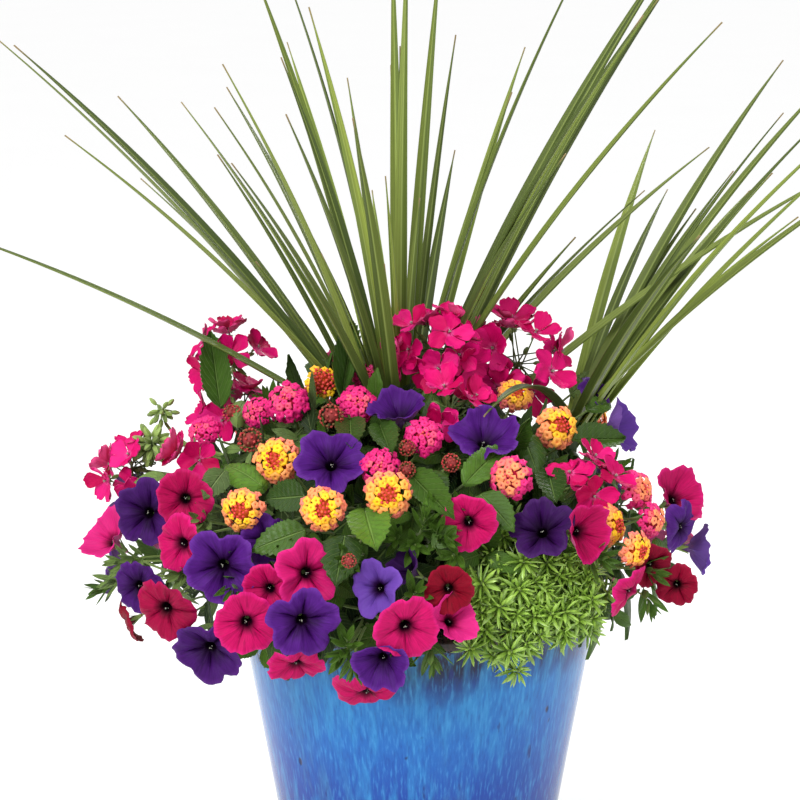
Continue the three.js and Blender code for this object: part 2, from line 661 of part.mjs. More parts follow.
// The part of a ring between two bearings, less a margin on each side.
function wedgeOf(ring, from, to) {
  const [reach, height] = [420, 700];
  const middle = THREE.MathUtils.degToRad((from + to) / 2);
  const half = THREE.MathUtils.degToRad((to - from) / 2);
  const corner = new THREE.Shape();
  corner.moveTo(0, 0);
  for (const side of [-1, 1]) {
    const angle = middle + side * half;
    corner.lineTo(Math.sin(angle) * reach, -Math.cos(angle) * reach);
  }
  const prism = new THREE.ExtrudeGeometry(corner, { depth: height, bevelEnabled: false });
  const push = GAP / Math.sin(half);
  const shift = [DOME_CENTRE.x + Math.sin(middle) * push, DOME_CENTRE.y - Math.cos(middle) * push, 0];
  return ring.intersect(solidOf(prism).translate(...shift));
}

const PETIOLE = 1.4;
const LEAF_ROOT_DEPTH = 8;
const LEAF_KINDS = {
  lantana: { length: 74, width: 45, fold: 0.28, sag: 0.16, widest: 0.42 },
  petunia: { length: 56, width: 28, fold: 0.12, sag: 0.1, widest: 0.5 },
  geranium: { length: 66, width: 68, fold: 0.1, sag: 0.05, widest: 0.55 },
};

// A leaf of the front, whose blade has a rounded outline.
function broadLeaf(leaf) {
  const kind = LEAF_KINDS[leaf.kind];
  const outline = (s) => (s < 0.01 || s > 0.99 ? 0 : leaf.width * (s < kind.widest ? 1 : 0.72));
  const size = { thickness: 1, segments: 3, across: 2 };
  return blade({ ...leaf, ...size, width: outline, sag: kind.sag, fold: kind.fold });
}

// A leaf among the others: a pointed blade, thickest at its rib.
function plainLeaf(leaf) {
  const kind = LEAF_KINDS[leaf.kind];
  const ahead = leaf.along.clone().normalize();
  const side = ahead.clone().cross(leaf.faceUp).normalize();
  const top = side.clone().cross(ahead).normalize();
  return solidOf(reshape(new THREE.OctahedronGeometry(1, 0), (p) => {
    const s = p.y < -0.5 ? 0 : p.y > 0.5 ? 1 : kind.widest;
    const half = (p.x * leaf.width) / 2;
    const rise = p.z * 1.2 + Math.abs(half) * kind.fold - kind.sag * s * s * leaf.length;
    p.copy(leaf.base).addScaledVector(side, half).addScaledVector(ahead, s * leaf.length)
      .addScaledVector(top, rise);
  }));
}

// A leaf of a wedge: it stands out of the core and hangs over its neighbours, face outward.
function wedgeLeaf(kindName, bearing, steepness, random) {
  const kind = LEAF_KINDS[kindName];
  const base = onLayer(bearing, steepness, CORE_LAYER.across - 5, CORE_LAYER.up - 4);
  const out = onLayer(bearing, steepness, 1, 1).sub(DOME_CENTRE).normalize();
  const aside = WORLD_UP.clone().cross(out).normalize();
  const down = aside.clone().cross(out).normalize();
  const sway = 3.6 * (random() - 0.5);
  const along = out.clone().multiplyScalar(0.75)
    .addScaledVector(down, Math.cos(sway))
    .addScaledVector(aside, Math.sin(sway));
  const size = 0.85 + 0.3 * random();
  return {
    kind: kindName,
    base,
    along,
    faceUp: out.addScaledVector(WORLD_UP, 0.3),
    length: kind.length * size,
    width: kind.width * size,
  };
}

// The sedum keeps below this height in its wedge, and lantana grows above it.
const SEDUM_TOP = POT_HEIGHT + 62;

// Wedges of the core: bearings, and how many leaves of which kind stand out of each.
const WEDGES = [
  { name: "lantana_foliage_front", from: -40, to: 10, leaf: "lantana", count: 14 },
  { name: "lantana_foliage_upper", from: 10, to: 58, leaf: "lantana", count: 9, above: SEDUM_TOP },
  { name: "lantana_foliage_right", from: 58, to: 106, leaf: "lantana", count: 15 },
  { name: "petunia_foliage_back_right", from: 106, to: 154, leaf: "petunia", count: 18 },
  { name: "geranium_foliage_back", from: 154, to: 200, leaf: "geranium", count: 13 },
  { name: "petunia_foliage_back_left", from: 200, to: 244, leaf: "petunia", count: 17 },
  { name: "lantana_foliage_left", from: 244, to: 284, leaf: "lantana", count: 14 },
  { name: "petunia_foliage_front_left", from: 284, to: 320, leaf: "petunia", count: 15 },
];

function wedgeLeaves(wedge, index) {
  const random = seeded(500 + 91 * index);
  const leaves = [];
  for (let i = 0; i < wedge.count; i += 1) {
    const bearing = wedge.from + (wedge.to - wedge.from) * (0.08 + 0.84 * random());
    const lowest = wedge.above ? 24 : 3;
    const steepness = lowest + (70 - lowest) * ((i + random()) / wedge.count);
    leaves.push(wedgeLeaf(wedge.leaf, bearing, steepness, random));
  }
  return leaves;
}

// Large leaves of the front: pixels of base and tip, nearer of each, and the width.
const FRONT_LEAVES = [
  { kind: "lantana", base: [221, 405, 0], tip: [211, 342, 10], width: 36 },
  { kind: "lantana", base: [238, 415, 4], tip: [250, 376, 10], width: 26 },
  { kind: "lantana", base: [262, 484, 0], tip: [216, 449, 14], width: 34 },
  { kind: "lantana", base: [341, 400, 0], tip: [352, 340, 12], width: 26 },
  { kind: "lantana", base: [330, 385, -20], tip: [309, 351, -10], width: 30 },
  { kind: "lantana", base: [365, 510, 0], tip: [376, 552, 26], width: 40 },
  { kind: "lantana", base: [345, 535, 0], tip: [338, 579, 12], width: 38 },
  { kind: "lantana", base: [412, 478, 0], tip: [453, 520, 14], width: 32 },
  { kind: "lantana", base: [465, 482, 0], tip: [508, 440, 10], width: 30 },
  { kind: "lantana", base: [480, 494, -6], tip: [510, 524, 8], width: 34 },
  { kind: "lantana", base: [572, 440, 0], tip: [618, 441, 6], width: 30 },
  { kind: "lantana", base: [300, 498, -10], tip: [270, 500, 0], width: 32 },
  { kind: "lantana", base: [302, 532, 0], tip: [255, 547, 14], width: 32 },
  { kind: "lantana", base: [655, 545, 0], tip: [680, 552, 4], width: 24 },
  { kind: "petunia", base: [165, 475, 0], tip: [143, 483, 6], width: 20 },
  { kind: "petunia", base: [432, 545, -4], tip: [452, 528, 10], width: 22 },
];

function frontLeaf(spec) {
  const base = onDome(...spec.base);
  const tip = onDome(...spec.tip);
  const along = tip.clone().sub(base);
  return {
    kind: spec.kind,
    base,
    along,
    faceUp: AHEAD.clone().negate().addScaledVector(WORLD_UP, 0.5).normalize(),
    length: along.length(),
    width: spec.width,
    root: rootOf(base, LEAF_ROOT_DEPTH),
    bearing: (layerAngles(base).bearing + 360) % 360,
  };
}

function inWedge(bearing, wedge) {
  const turned = bearing > wedge.to + 1 ? bearing - 360 : bearing;
  return turned >= wedge.from && turned < wedge.to;
}

// Sedum

const SEDUM = {
  from: 10, to: 58, nearer: -40, rootDepth: 12, stalk: 1.6, hub: 4.2, needle: 17, width: 3.4, perShoot: 6,
};

// The shoots of the clump, as pixels of their tips.
const SEDUM_SHOOTS = [
  [483, 583], [524, 562], [566, 560], [590, 574], [503, 536], [545, 590], [566, 612], [485, 630],
  [540, 624], [592, 604], [520, 652], [501, 606], [552, 646], [580, 634], [520, 590], [548, 562],
];

// A needle that grows along +Z from the origin.
function needle(length, width) {
  const cone = new THREE.ConeGeometry(width / 2, length, 3).rotateX(Math.PI / 2);
  return solidOf(cone.translate(0, 0, length / 2));
}

function makeSedum(core, free) {
  const sharp = needle(SEDUM.needle, SEDUM.width);
  const parts = [core];
  SEDUM_SHOOTS.forEach(([px, py], index) => {
    const tip = onDome(px, py, SEDUM.nearer);
    const root = rootOf(tip, SEDUM.rootDepth);
    const out = tip.clone().sub(root).normalize();
    const face = out.clone().addScaledVector(WORLD_UP, 0.25).addScaledVector(AHEAD, -0.4);
    const shoot = [
      stem(root, tip, SEDUM.stalk),
      solidOf(new THREE.OctahedronGeometry(SEDUM.hub, 0)).translate(tip.x, tip.y, tip.z),
    ];
    for (const direction of capDirections(SEDUM.perShoot, 95)) {
      const frame = frameAt(tip, face, index);
      const ahead = direction.clone().transformDirection(frame);
      const start = tip.clone().addScaledVector(ahead, 0.5 * SEDUM.hub);
      shoot.push(placed(sharp, frameAt(start, ahead, 0)));
    }
    const whole = joined(shoot);
    if (free(whole)) parts.push(whole);
  });
  return joined(parts);
}

// Materials, with colours read by eye.
const LOOKS = {
  blue_glaze: [0x2f78c8, 0.18],
  potting_mix: [0x2b2019, 0.95],
  spike_leaf: [0x6f8f3a, 0.5],
  lantana_leaf: [0x3c6b2a, 0.6],
  petunia_leaf: [0x5b7d3c, 0.6],
  geranium_leaf: [0x4c7a2f, 0.6],
  sedum_leaf: [0x86b53c, 0.45],
  petunia_magenta: [0xd0145f, 0.55],
  petunia_purple: [0x4a1a8a, 0.55],
  lantana_gold: [0xf7a823, 0.5],
  lantana_pink: [0xe8457f, 0.5],
  lantana_bud: [0xc23a3a, 0.6],
  geranium_pink: [0xf01c86, 0.5],
  geranium_bud: [0x8fa83f, 0.6],
};

function nodeOf(name, slot, solid) {
  const { numProp, vertProperties, triVerts, numVert } = solid.getMesh();
  const position = new Float32Array(numVert * 3);
  for (let i = 0; i < numVert; i += 1) {
    position.set(vertProperties.subarray(i * numProp, i * numProp + 3), i * 3);
  }
  const geometry = new THREE.BufferGeometry()
    .setAttribute("position", new THREE.BufferAttribute(position, 3))
    .setIndex(new THREE.BufferAttribute(triVerts, 1));
  const [color, roughness] = LOOKS[slot];
  const material = new THREE.MeshStandardMaterial({ color, roughness, metalness: 0 });
  const mesh = new THREE.Mesh(geometry, material);
  mesh.name = name;
  return mesh;
}

// Assembly: what is placed first keeps its shape, and what comes later is cut clear of it.
const planter = new THREE.Group();
const crowns = [CROWN_A, CROWN_B];
const finished = [];

// The finished pieces whose bounds meet those of a solid.
function neighboursOf(solid) {
  const own = solid.boundingBox();
  return finished.filter(({ bounds }) => (
    [0, 1, 2].every((k) => own.min[k] < bounds.max[k] && own.max[k] > bounds.min[k])
  ));
}

function isFree(solid) {
  return neighboursOf(solid).every(({ clear }) => clear.intersect(solid).isEmpty());
}

function cutClear(solid) {
  const cutters = neighboursOf(solid).flatMap((piece) => [piece.clear, piece.solid]);
  return cutters.length ? oneBody(solid.subtract(joined(cutters))) : oneBody(solid);
}

function finish(name, slot, solid, clear) {
  finished.push({ solid, clear, bounds: clear.boundingBox() });
  planter.add(nodeOf(name, slot, solid));
}

const pot = makePot();
const soil = makeSoil(crowns.map((crown) => trunk(crown, GAP)));
planter.add(nodeOf("pot", "blue_glaze", pot));
planter.add(nodeOf("soil", "potting_mix", soil));
crowns.forEach((crown) => {
  finish(crown.name, "spike_leaf", cutClear(makeCrown(crown, 0)), makeCrown(crown, GAP));
});

const [potReach, potTop] = [RIM_RADIUS + 2 * GAP, POT_HEIGHT + GAP];
const potClear = solidOf(turned([[0, 0], [potReach, 0], [potReach, potTop], [0, potTop]], POT_SIDES));
finished.push({ solid: pot, clear: potClear, bounds: potClear.boundingBox() });

const coreClear = coreRing(GAP);
[...SPRAYS, ...BACK_SPRAYS].forEach((spray, index) => {
  const solid = cutClear(makeSpray(spray, index, 0).subtract(coreClear));
  finish(spray.name, slotOf(spray), solid, makeSpray(spray, index, GAP));
});

const ring = coreRing(0).subtract(joined(crowns.map((crown) => makeCrown(crown, GAP))));
const frontLeaves = FRONT_LEAVES.map(frontLeaf);
WEDGES.forEach((wedge, index) => {
  let core = wedgeOf(ring, wedge.from, wedge.to);
  if (wedge.above) core = core.trimByPlane([0, 0, 1], wedge.above + GAP);
  const parts = [oneBody(core)];
  const candidates = wedgeLeaves(wedge, index).map(plainLeaf);
  for (const leaf of frontLeaves.filter(({ bearing }) => inWedge(bearing, wedge))) {
    const joint = leaf.base.clone().addScaledVector(leaf.along, 0.06);
    candidates.push(joined([broadLeaf(leaf), stem(leaf.root, joint, PETIOLE)]));
  }
  for (const leaf of candidates) if (isFree(leaf)) parts.push(leaf);
  const solid = oneBody(joined(parts));
  finish(wedge.name, `${wedge.leaf}_leaf`, solid, solid);
});

const sedumCore = oneBody(wedgeOf(ring, SEDUM.from, SEDUM.to).trimByPlane([0, 0, -1], -SEDUM_TOP));
const sedum = cutClear(makeSedum(sedumCore, isFree));
finish("sedum_clump", "sedum_leaf", sedum, sedum);

export default planter;
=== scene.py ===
# %% [markdown]
# # A mixed summer planter in a blue glazed pot
# This notebook dresses a packed planter, whose solids give each piece its place and nearly its size.
# The frame comes first, because every piece is made round a solid of it. A few blooms stand a
# little beside theirs.
# Lengths are worked out in millimetres, as on the bench, and each mesh is scaled to metres once.

# %% Load the frame
import math

import bmesh
import bpy
from mathutils import Matrix, Quaternion, Vector, noise


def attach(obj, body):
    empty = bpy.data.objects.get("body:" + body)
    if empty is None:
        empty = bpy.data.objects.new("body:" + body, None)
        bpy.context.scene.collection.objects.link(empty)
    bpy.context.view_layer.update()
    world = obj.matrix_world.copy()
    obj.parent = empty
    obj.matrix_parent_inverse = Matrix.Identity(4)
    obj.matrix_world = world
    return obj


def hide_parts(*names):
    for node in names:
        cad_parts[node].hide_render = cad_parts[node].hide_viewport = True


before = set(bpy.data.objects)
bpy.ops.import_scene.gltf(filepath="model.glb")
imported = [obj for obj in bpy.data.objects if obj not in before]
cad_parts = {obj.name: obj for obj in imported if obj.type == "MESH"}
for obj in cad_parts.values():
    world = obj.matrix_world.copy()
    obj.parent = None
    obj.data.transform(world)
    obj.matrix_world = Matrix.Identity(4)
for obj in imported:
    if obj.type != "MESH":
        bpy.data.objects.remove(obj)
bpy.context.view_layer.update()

# %% [markdown]
# ## The camera
# The planter was seen from the front and 12 degrees above, from almost three metres away. A camera
# is placed by the same line of sight that gives the blooms their places, so that one picture's
# pixel means the same in both. The picture is square, 800 pixels a side.

# %% Camera
POT_HEIGHT = 360
LOOK_DOWN = math.radians(12)
PIXEL_MM = 0.942
PICTURE_MIDDLE = 400
RIM_PIXEL = (418, 583)
EYE_DISTANCE = 2800
TO_METRES = 0.001
WHOLE_TURN = 6.28
QUARTER_TURN = 1.57
GOLDEN_TURN = 2.4
GOLDEN_SHARE = 0.618

RIGHT = Vector((1, 0, 0))
AHEAD = Vector((0, math.cos(LOOK_DOWN), -math.sin(LOOK_DOWN)))
UPWARD = Vector((0, math.sin(LOOK_DOWN), math.cos(LOOK_DOWN)))
WORLD_UP = Vector((0, 0, 1))
EYE = (
    Vector((0, 0, POT_HEIGHT))
    + RIGHT * (PICTURE_MIDDLE - RIM_PIXEL[0]) * PIXEL_MM
    + UPWARD * (RIM_PIXEL[1] - PICTURE_MIDDLE) * PIXEL_MM
    - AHEAD * EYE_DISTANCE
)
camera = bpy.data.objects.new("camera", bpy.data.cameras.new("camera"))
camera.data.angle = 2 * math.atan(PICTURE_MIDDLE * PIXEL_MM / EYE_DISTANCE)
camera_turn = Matrix((RIGHT, UPWARD, -AHEAD)).transposed().to_4x4()
camera.matrix_world = Matrix.Translation(EYE * TO_METRES) @ camera_turn
bpy.context.scene.collection.objects.link(camera)
bpy.context.scene.camera = camera
print("camera at", [round(c, 3) for c in camera.location])

# %% [markdown]
# ## Finding a place in the planting
# The planting is a dome over the rim. A bloom is found by the pixel that shows it: the line of
# sight meets the dome there. What the picture hides is placed by its bearing round the dome and
# its steepness, from 0 at the side to 90 on top. The same few functions serve every plant.

# %% Places
DOME_CENTRE = Vector((-14, 0, POT_HEIGHT + 25))
BLOOM_ACROSS, BLOOM_UP, BLOOM_DOWN = 283, 176, 128
CORE_ACROSS, CORE_UP = 166, 112
SOIL_TOP = POT_HEIGHT - 24


def sight(px, py):
    """The line of sight through a pixel, 1 long along the camera's axis."""
    per_pixel = PIXEL_MM / EYE_DISTANCE
    return AHEAD + RIGHT * (px - PICTURE_MIDDLE) * per_pixel + UPWARD * (PICTURE_MIDDLE - py) * per_pixel


def mm_per_pixel_at(place):
    return PIXEL_MM * (place - EYE).dot(AHEAD) / EYE_DISTANCE


def at_depth(px, py, depth):
    """The place behind a pixel, depth beyond the middle of the rim."""
    return EYE + sight(px, py) * (EYE_DISTANCE + depth)


def on_dome(px, py, nearer):
    """The place of the bloom layer that a pixel shows, moved nearer to the viewer."""
    ray = sight(px, py)
    start = EYE - DOME_CENTRE

    def meet(vertical):
        scale = Vector((1 / BLOOM_ACROSS, 1 / BLOOM_ACROSS, 1 / vertical))
        a, b = ray * scale, start * scale
        half = a.dot(b)
        root = half * half - a.length_squared * (b.length_squared - 1)
        return (-half - math.sqrt(max(root, 0))) / a.length_squared

    along = meet(BLOOM_UP)
    if EYE.z + ray.z * along < DOME_CENTRE.z:
        along = meet(BLOOM_DOWN)
    return EYE + ray * (along - nearer)


def on_layer(bearing, steepness, across, up):
    turn, steep = math.radians(bearing), math.radians(steepness)
    flat = math.cos(steep) * across
    return DOME_CENTRE + Vector((math.sin(turn) * flat, -math.cos(turn) * flat, math.sin(steep) * up))


def layer_angles(place):
    """The bearing and steepness of a place, as on the bloom layer."""
    p = place - DOME_CENTRE
    flat = math.hypot(p.x, p.y) / BLOOM_ACROSS
    return math.degrees(math.atan2(p.x, -p.y)), math.degrees(math.atan2(p.z / BLOOM_UP, flat))


def root_of(place, depth):
    """The place in the leafy core below a place of the bloom layer."""
    bearing, steepness = layer_angles(place)
    return on_layer(bearing, min(max(steepness, -4), 70), CORE_ACROSS - depth, CORE_UP - depth)


def facing(turn, lift):
    """The direction that a bloom faces: degrees to the right of the front, and upward."""
    t, l = math.radians(turn), math.radians(lift)
    return Vector((math.sin(t) * math.cos(l), -math.cos(t) * math.cos(l), math.sin(l)))


def frame_at(place, direction, spin=0.0, size=1.0):
    """A frame whose +Z points along a direction, spun about it."""
    turn = WORLD_UP.rotation_difference(direction) @ Quaternion(WORLD_UP, spin)
    return Matrix.LocRotScale(place, turn, Vector((size, size, size)))


def seeded(seed):
    """Repeatable random numbers from 0 to 1."""
    state = seed

    def draw():
        nonlocal state
        state = (state * 1664525 + 1013904223) % 2**32
        return state / 2**32

    return draw


def cap_directions(count, widest):
    """Directions spread over a cap round +Z, as seeds are in a seed head."""
    golden = math.pi * (3 - math.sqrt(5))
    found = []
    for i in range(count):
        polar = math.radians(math.sqrt(widest**2 * (i + 0.5) / count))
        found.append(Vector((
            math.sin(polar) * math.cos(i * golden),
            math.sin(polar) * math.sin(i * golden),
            math.cos(polar),
        )))
    return found


print("a bloom in the middle of the front stands at", [round(c) for c in on_dome(400, 520, 0)])

# %% [markdown]
# ## A gardener's tray of templates
# A planting repeats a few shapes hundreds of times. Each is made once as a small template mesh and
# then copied into its piece with a place, a turn and a tint of its own. Every mesh carries three
# attributes for the materials: petal says where on the petal or blade a point is, under is 1 on its
# back, and tint is the copy's own tone. On the petunia blooms and the leaves the tint also carries
# painted shade and painted light.

# %% Template helpers
def blank():
    """An empty bmesh with the attributes that the finishes read."""
    bm = bmesh.new()
    bm.verts.layers.float_vector.new("petal")
    bm.verts.layers.float.new("under")
    bm.verts.layers.float.new("tint")
    return bm


def spun(profile, steps):
    """A turned shape from [radius, height] points, as on a potter's wheel."""
    bm = blank()
    points = [bm.verts.new((radius, 0, height)) for radius, height in profile]
    line = [bm.edges.new(pair) for pair in zip(points, points[1:])]
    bmesh.ops.spin(
        bm, geom=points + line, cent=(0, 0, 0), dvec=(0, 0, 0), axis=(0, 0, 1),
        angle=2 * math.pi, steps=steps, use_merge=True,
    )
    bmesh.ops.remove_doubles(bm, verts=bm.verts[:], dist=1e-5)
    bmesh.ops.recalc_face_normals(bm, faces=bm.faces[:])
    return bm


def sheet_of(across, along):
    """A flat blade from 0 to 1 along Y and from -1 to 1 along X, marked for the finishes."""
    bm = blank()
    bmesh.ops.create_grid(bm, x_segments=across, y_segments=along, size=1)
    petal = bm.verts.layers.float_vector["petal"]
    for v in bm.verts:
        v.co.y = (v.co.y + 1) / 2
        v[petal] = v.co
    return bm


def reshape(bm, rule):
    for v in bm.verts:
        v.co = rule(v.co.copy())


def thicken(bm, thickness):
    """Gives an open surface a back, and marks it."""
    front = set(bm.verts)
    bmesh.ops.solidify(bm, geom=bm.faces[:], thickness=thickness)
    under = bm.verts.layers.float["under"]
    for v in bm.verts:
        if v not in front:
            v[under] = 1


def template(bm, name, material=0):
    """Keeps a finished bmesh as a template mesh, its faces pointing outwards."""
    if bm.calc_volume(signed=True) < 0:
        bmesh.ops.reverse_faces(bm, faces=bm.faces[:])
    for face in bm.faces:
        face.material_index = material
        face.smooth = True
    mesh = bpy.data.meshes.new(name)
    bm.to_mesh(mesh)
    bm.free()
    print("template", name, len(mesh.polygons), "faces")
    return mesh


def plant(bm, pattern, where, tint=0.5):
    """Adds a copy of a template: where is a matrix, or a rule that moves each point."""
    copy = pattern.copy()
    if isinstance(where, Matrix):
        copy.transform(where)
    else:
        for v in copy.vertices:
            v.co = where(v.co.copy())
    copy.attributes["tint"].data.foreach_set("value", [tint] * len(copy.vertices))
    bm.from_mesh(copy)
    bpy.data.meshes.remove(copy)


SHARP_EDGE = math.radians(55)
rod_profile = [(0, 0)] + [(1, i / 6) for i in range(7)] + [(0, 1)]
ROD = template(spun(rod_profile, 6), "rod", 1)


def stem(bm, start, bend, end, thick, thin, tint=0.5):
    """A stem that leaves start towards bend and comes from it to end."""
    chord = (end - start).normalized()
    side = chord.orthogonal().normalized()
    top = chord.cross(side)

    def along(p):
        s = p.z
        centre = start * (1 - s) ** 2 + bend * 2 * s * (1 - s) + end * s**2
        radius = thick + (thin - thick) * s
        return centre + (side * p.x + top * p.y) * radius

    plant(bm, ROD, along, tint)


def finish_piece(bm, name, nodes, slot, finishes):
    """Turns a filled bmesh into a piece that stands in for CAD nodes."""
    mesh = bpy.data.meshes.new(name)
    bm.to_mesh(mesh)
    bm.free()
    mesh.transform(Matrix.Scale(TO_METRES, 4))
    mesh.set_sharp_from_angle(angle=SHARP_EDGE)
    for finish in finishes:
        mesh.materials.append(finish)
    piece = bpy.data.objects.new(name, mesh)
    bpy.context.scene.collection.objects.link(piece)
    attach(piece, "root")
    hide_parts(*nodes)
    print(name, sum(len(p.vertices) - 2 for p in mesh.polygons), "triangles")

# %% [markdown]
# ## Mixing the finishes
# Each finish is a node material. What a node puts out is kept as a Mix, so that a sum of two Mixes is
# written as a sum and makes its own node. A few short functions make the nodes that the finishes
# share. Values that are the same all over a surface are set on the Principled shader itself.

# %% Material helpers
class Mix:
    """A value or colour that a node puts out."""

    def __init__(self, tree, socket):
        self.tree, self.socket = tree, socket

    def sum(self, operation, other=None):
        inputs = {0: self} if other is None else {0: self, 1: other}
        return wire(self.tree, "Math", 0, inputs, operation=operation)

    def __add__(self, other):
        return self.sum("ADD", other)

    def __sub__(self, other):
        return self.sum("SUBTRACT", other)

    def __mul__(self, other):
        return self.sum("MULTIPLY", other)

    def __truediv__(self, other):
        return self.sum("DIVIDE", other)


def feed(tree, socket, value):
    """Sets a socket to a value, or joins it to a Mix."""
    if isinstance(value, Mix):
        tree.links.new(value.socket, socket)
    else:
        socket.default_value = value


def wire(tree, kind, output, inputs=None, **settings):
    """What a new shader node puts out, with its settings made and its inputs fed."""
    node = tree.nodes.new("ShaderNode" + kind)
    for key, value in settings.items():
        setattr(node, key, value)
    for key, value in (inputs or {}).items():
        feed(tree, node.inputs[key], value)
    return Mix(tree, node.outputs[output])


def start_finish(name, **values):
    material = bpy.data.materials.new(name)
    material.use_nodes = True
    shader = material.node_tree.nodes["Principled BSDF"]
    for key, value in values.items():
        shader.inputs[key.replace("_", " ").title().replace("Ior", "IOR")].default_value = value
    return material, material.node_tree, shader


def read(tree, name, output="Fac"):
    """An attribute that the meshes carry."""
    return wire(tree, "Attribute", output, attribute_name=name)


def place_of(tree):
    return wire(tree, "TexCoord", "Object")


def parts(vector):
    node = wire(vector.tree, "SeparateXYZ", "X", {"Vector": vector}).socket.node
    return [Mix(vector.tree, node.outputs[axis]) for axis in "XYZ"]


def on_petal(tree):
    """Where on the petal, leaf or blade a point is."""
    return parts(read(tree, "petal", "Vector"))


def joined(x, y, z):
    return wire(x.tree, "CombineXYZ", "Vector", {"X": x, "Y": y, "Z": z})


def scaled(vector, factors):
    return wire(vector.tree, "VectorMath", 0, {0: vector, 1: factors}, operation="MULTIPLY")


def speckle(vector, scale, detail=3.0):
    return wire(vector.tree, "TexNoise", "Fac", {"Vector": vector, "Scale": scale, "Detail": detail})


def ramp(factor, stops):
    """A colour ramp from (place, colour) stops."""
    colours = wire(factor.tree, "ValToRGB", "Color", {"Fac": factor})
    elements = colours.socket.node.color_ramp.elements
    while len(elements) < len(stops):
        elements.new(0.5)
    for element, (place, colour) in zip(elements, stops):
        element.position = place
        element.color = (*colour, 1)
    return colours


def step_ramp(factor, low, high):
    """0 below low, 1 above high, smooth between."""
    inputs = {"Value": factor, "From Min": low, "From Max": high}
    return wire(factor.tree, "MapRange", "Result", inputs, interpolation_type="SMOOTHSTEP")


def mixed(factor, a, b, blend="MIX"):
    """Colour a with a share of colour b."""
    tree = next(value.tree for value in (factor, a, b) if isinstance(value, Mix))
    inputs = {0: factor}
    for key, colour in ((6, a), (7, b)):
        inputs[key] = colour if isinstance(colour, Mix) else (*colour, 1)
    return wire(tree, "Mix", 2, inputs, data_type="RGBA", blend_type=blend)


def shade(colour, value):
    return wire(colour.tree, "HueSaturation", "Color", {"Color": colour, "Value": value})


def dress(shader, colour, height=None, distance=0.0, strength=1.0):
    """Puts a colour on a shader, and a relief where one is given."""
    feed(colour.tree, shader.inputs["Base Color"], colour)
    if height:
        inputs = {"Height": height, "Distance": distance, "Strength": strength}
        feed(colour.tree, shader.inputs["Normal"], wire(colour.tree, "Bump", "Normal", inputs))

# %% [markdown]
# ## Petal finish
# A petunia's limb is matt and velvety. Its colour runs from an almost black throat to a bright
# limb, with darker veins that fan out from the middle, and its back is paler. The veins come from
# noise that changes quickly round the bloom and slowly outwards, so they follow the petals on every
# copy.

# %% Petal finish
def petal_finish(name, spread, throat, deep, limb, edge, back, painted_shade_tint, painted_light_tint):
    material, tree, shader = start_finish(name, roughness=0.5, specular_ior_level=0.08)
    x, y, reach = on_petal(tree)
    midrib = step_ramp((y.sum("ARCTAN2", x) * 5.0).sum("COSINE"), 0.972, 0.999)

    def fan(fineness, length):
        return speckle(joined(x * fineness, y * fineness, reach * length), 1.0)

    coarse, fine = fan(5.0, 1.5), fan(17.0, 3.0)
    side_veins = step_ramp(coarse, 0.56, 0.63) * 0.7
    veins = side_veins.sum("MAXIMUM", midrib) * step_ramp(reach, 1.05, 0.25)
    colour = ramp(reach, [(0.155, throat), (0.2, deep), (spread, limb), (0.85, limb), (1.0, edge)])
    colour = shade(mixed(veins * 0.85, colour, deep), fine * 0.9 + 0.55)
    colour = mixed(read(tree, "under") * 0.85, colour, mixed(veins * 0.6, back, limb))
    # The copy's tint is painted shade and painted light: a low tint darkens a bloom that sits in shade, and a
    # high one brightens the front of a lit limb.
    tint = read(tree, "tint")
    colour = mixed(step_ramp(tint, 0.5, 0.0), colour, mixed(1.0, colour, painted_shade_tint, "MULTIPLY"))
    front = step_ramp(reach, 0.2, 0.5) * step_ramp(tint, 0.5, 1.0)
    colour = mixed(front, colour, mixed(0.6, colour, painted_light_tint))
    dress(shader, colour, coarse + fine * 0.6, 0.0012, 0.6)
    return material


MAGENTA_PETAL = petal_finish(
    "magenta_petal", spread=0.4, throat=(0.006, 0.0, 0.004), deep=(0.09, 0.0, 0.018),
    limb=(0.43, 0.003, 0.085), edge=(0.54, 0.01, 0.15), back=(0.6, 0.14, 0.3),
    painted_shade_tint=(0.42, 0.3, 0.14), painted_light_tint=(0.68, 0.03, 0.25),
)
PURPLE_PETAL = petal_finish(
    "purple_petal", spread=0.62, throat=(0.003, 0.0, 0.004), deep=(0.014, 0.001, 0.03),
    limb=(0.062, 0.008, 0.15), edge=(0.1, 0.02, 0.22), back=(0.24, 0.12, 0.36),
    painted_shade_tint=(0.4, 0.4, 0.34), painted_light_tint=(0.15, 0.07, 0.4),
)
print("petal finishes:", MAGENTA_PETAL.name, PURPLE_PETAL.name)

# %% [markdown]
# ## Stem, calyx and pistil finishes
# Soft green growth has a hairy, uneven surface. One green serves the stems, calyces and petioles,
# in the tint that each copy brings. The pistil at the bottom of a petunia's throat is a wet,
# greenish white.

# %% Green growth and pistil
def growth_finish(name, deep, fresh):
    material, tree, shader = start_finish(name, roughness=0.5, specular_ior_level=0.35, sheen_weight=0.15)
    spots = place_of(tree)
    colour = shade(mixed(read(tree, "tint"), deep, fresh), speckle(spots, 90.0) * 0.8 + 0.6)
    dress(shader, colour, speckle(spots, 700.0, 2.0), 0.0004, 0.6)
    return material


STEM_GREEN = growth_finish("stem_green", (0.03, 0.07, 0.012), (0.3, 0.42, 0.1))
PISTIL, pistil_tree, pistil_shader = start_finish("pistil", roughness=0.25)
dress(pistil_shader, mixed(speckle(place_of(pistil_tree), 500.0), (0.2, 0.2, 0.15), (0.4, 0.4, 0.34)))
print("stem and pistil finishes made")

# %% [markdown]
# ## Petunia blooms
# A petunia is one trumpet of five fused petals: a narrow tube that opens into a flat limb with five
# shallow lobes, a groove down the middle of each, and a ruffled edge. It could be sculpted, but a
# spun profile whose points are then moved by a rule gives a clean shape that takes its lobes, folds
# and ruffles from a few numbers. Six forms are made, so that neighbours differ.

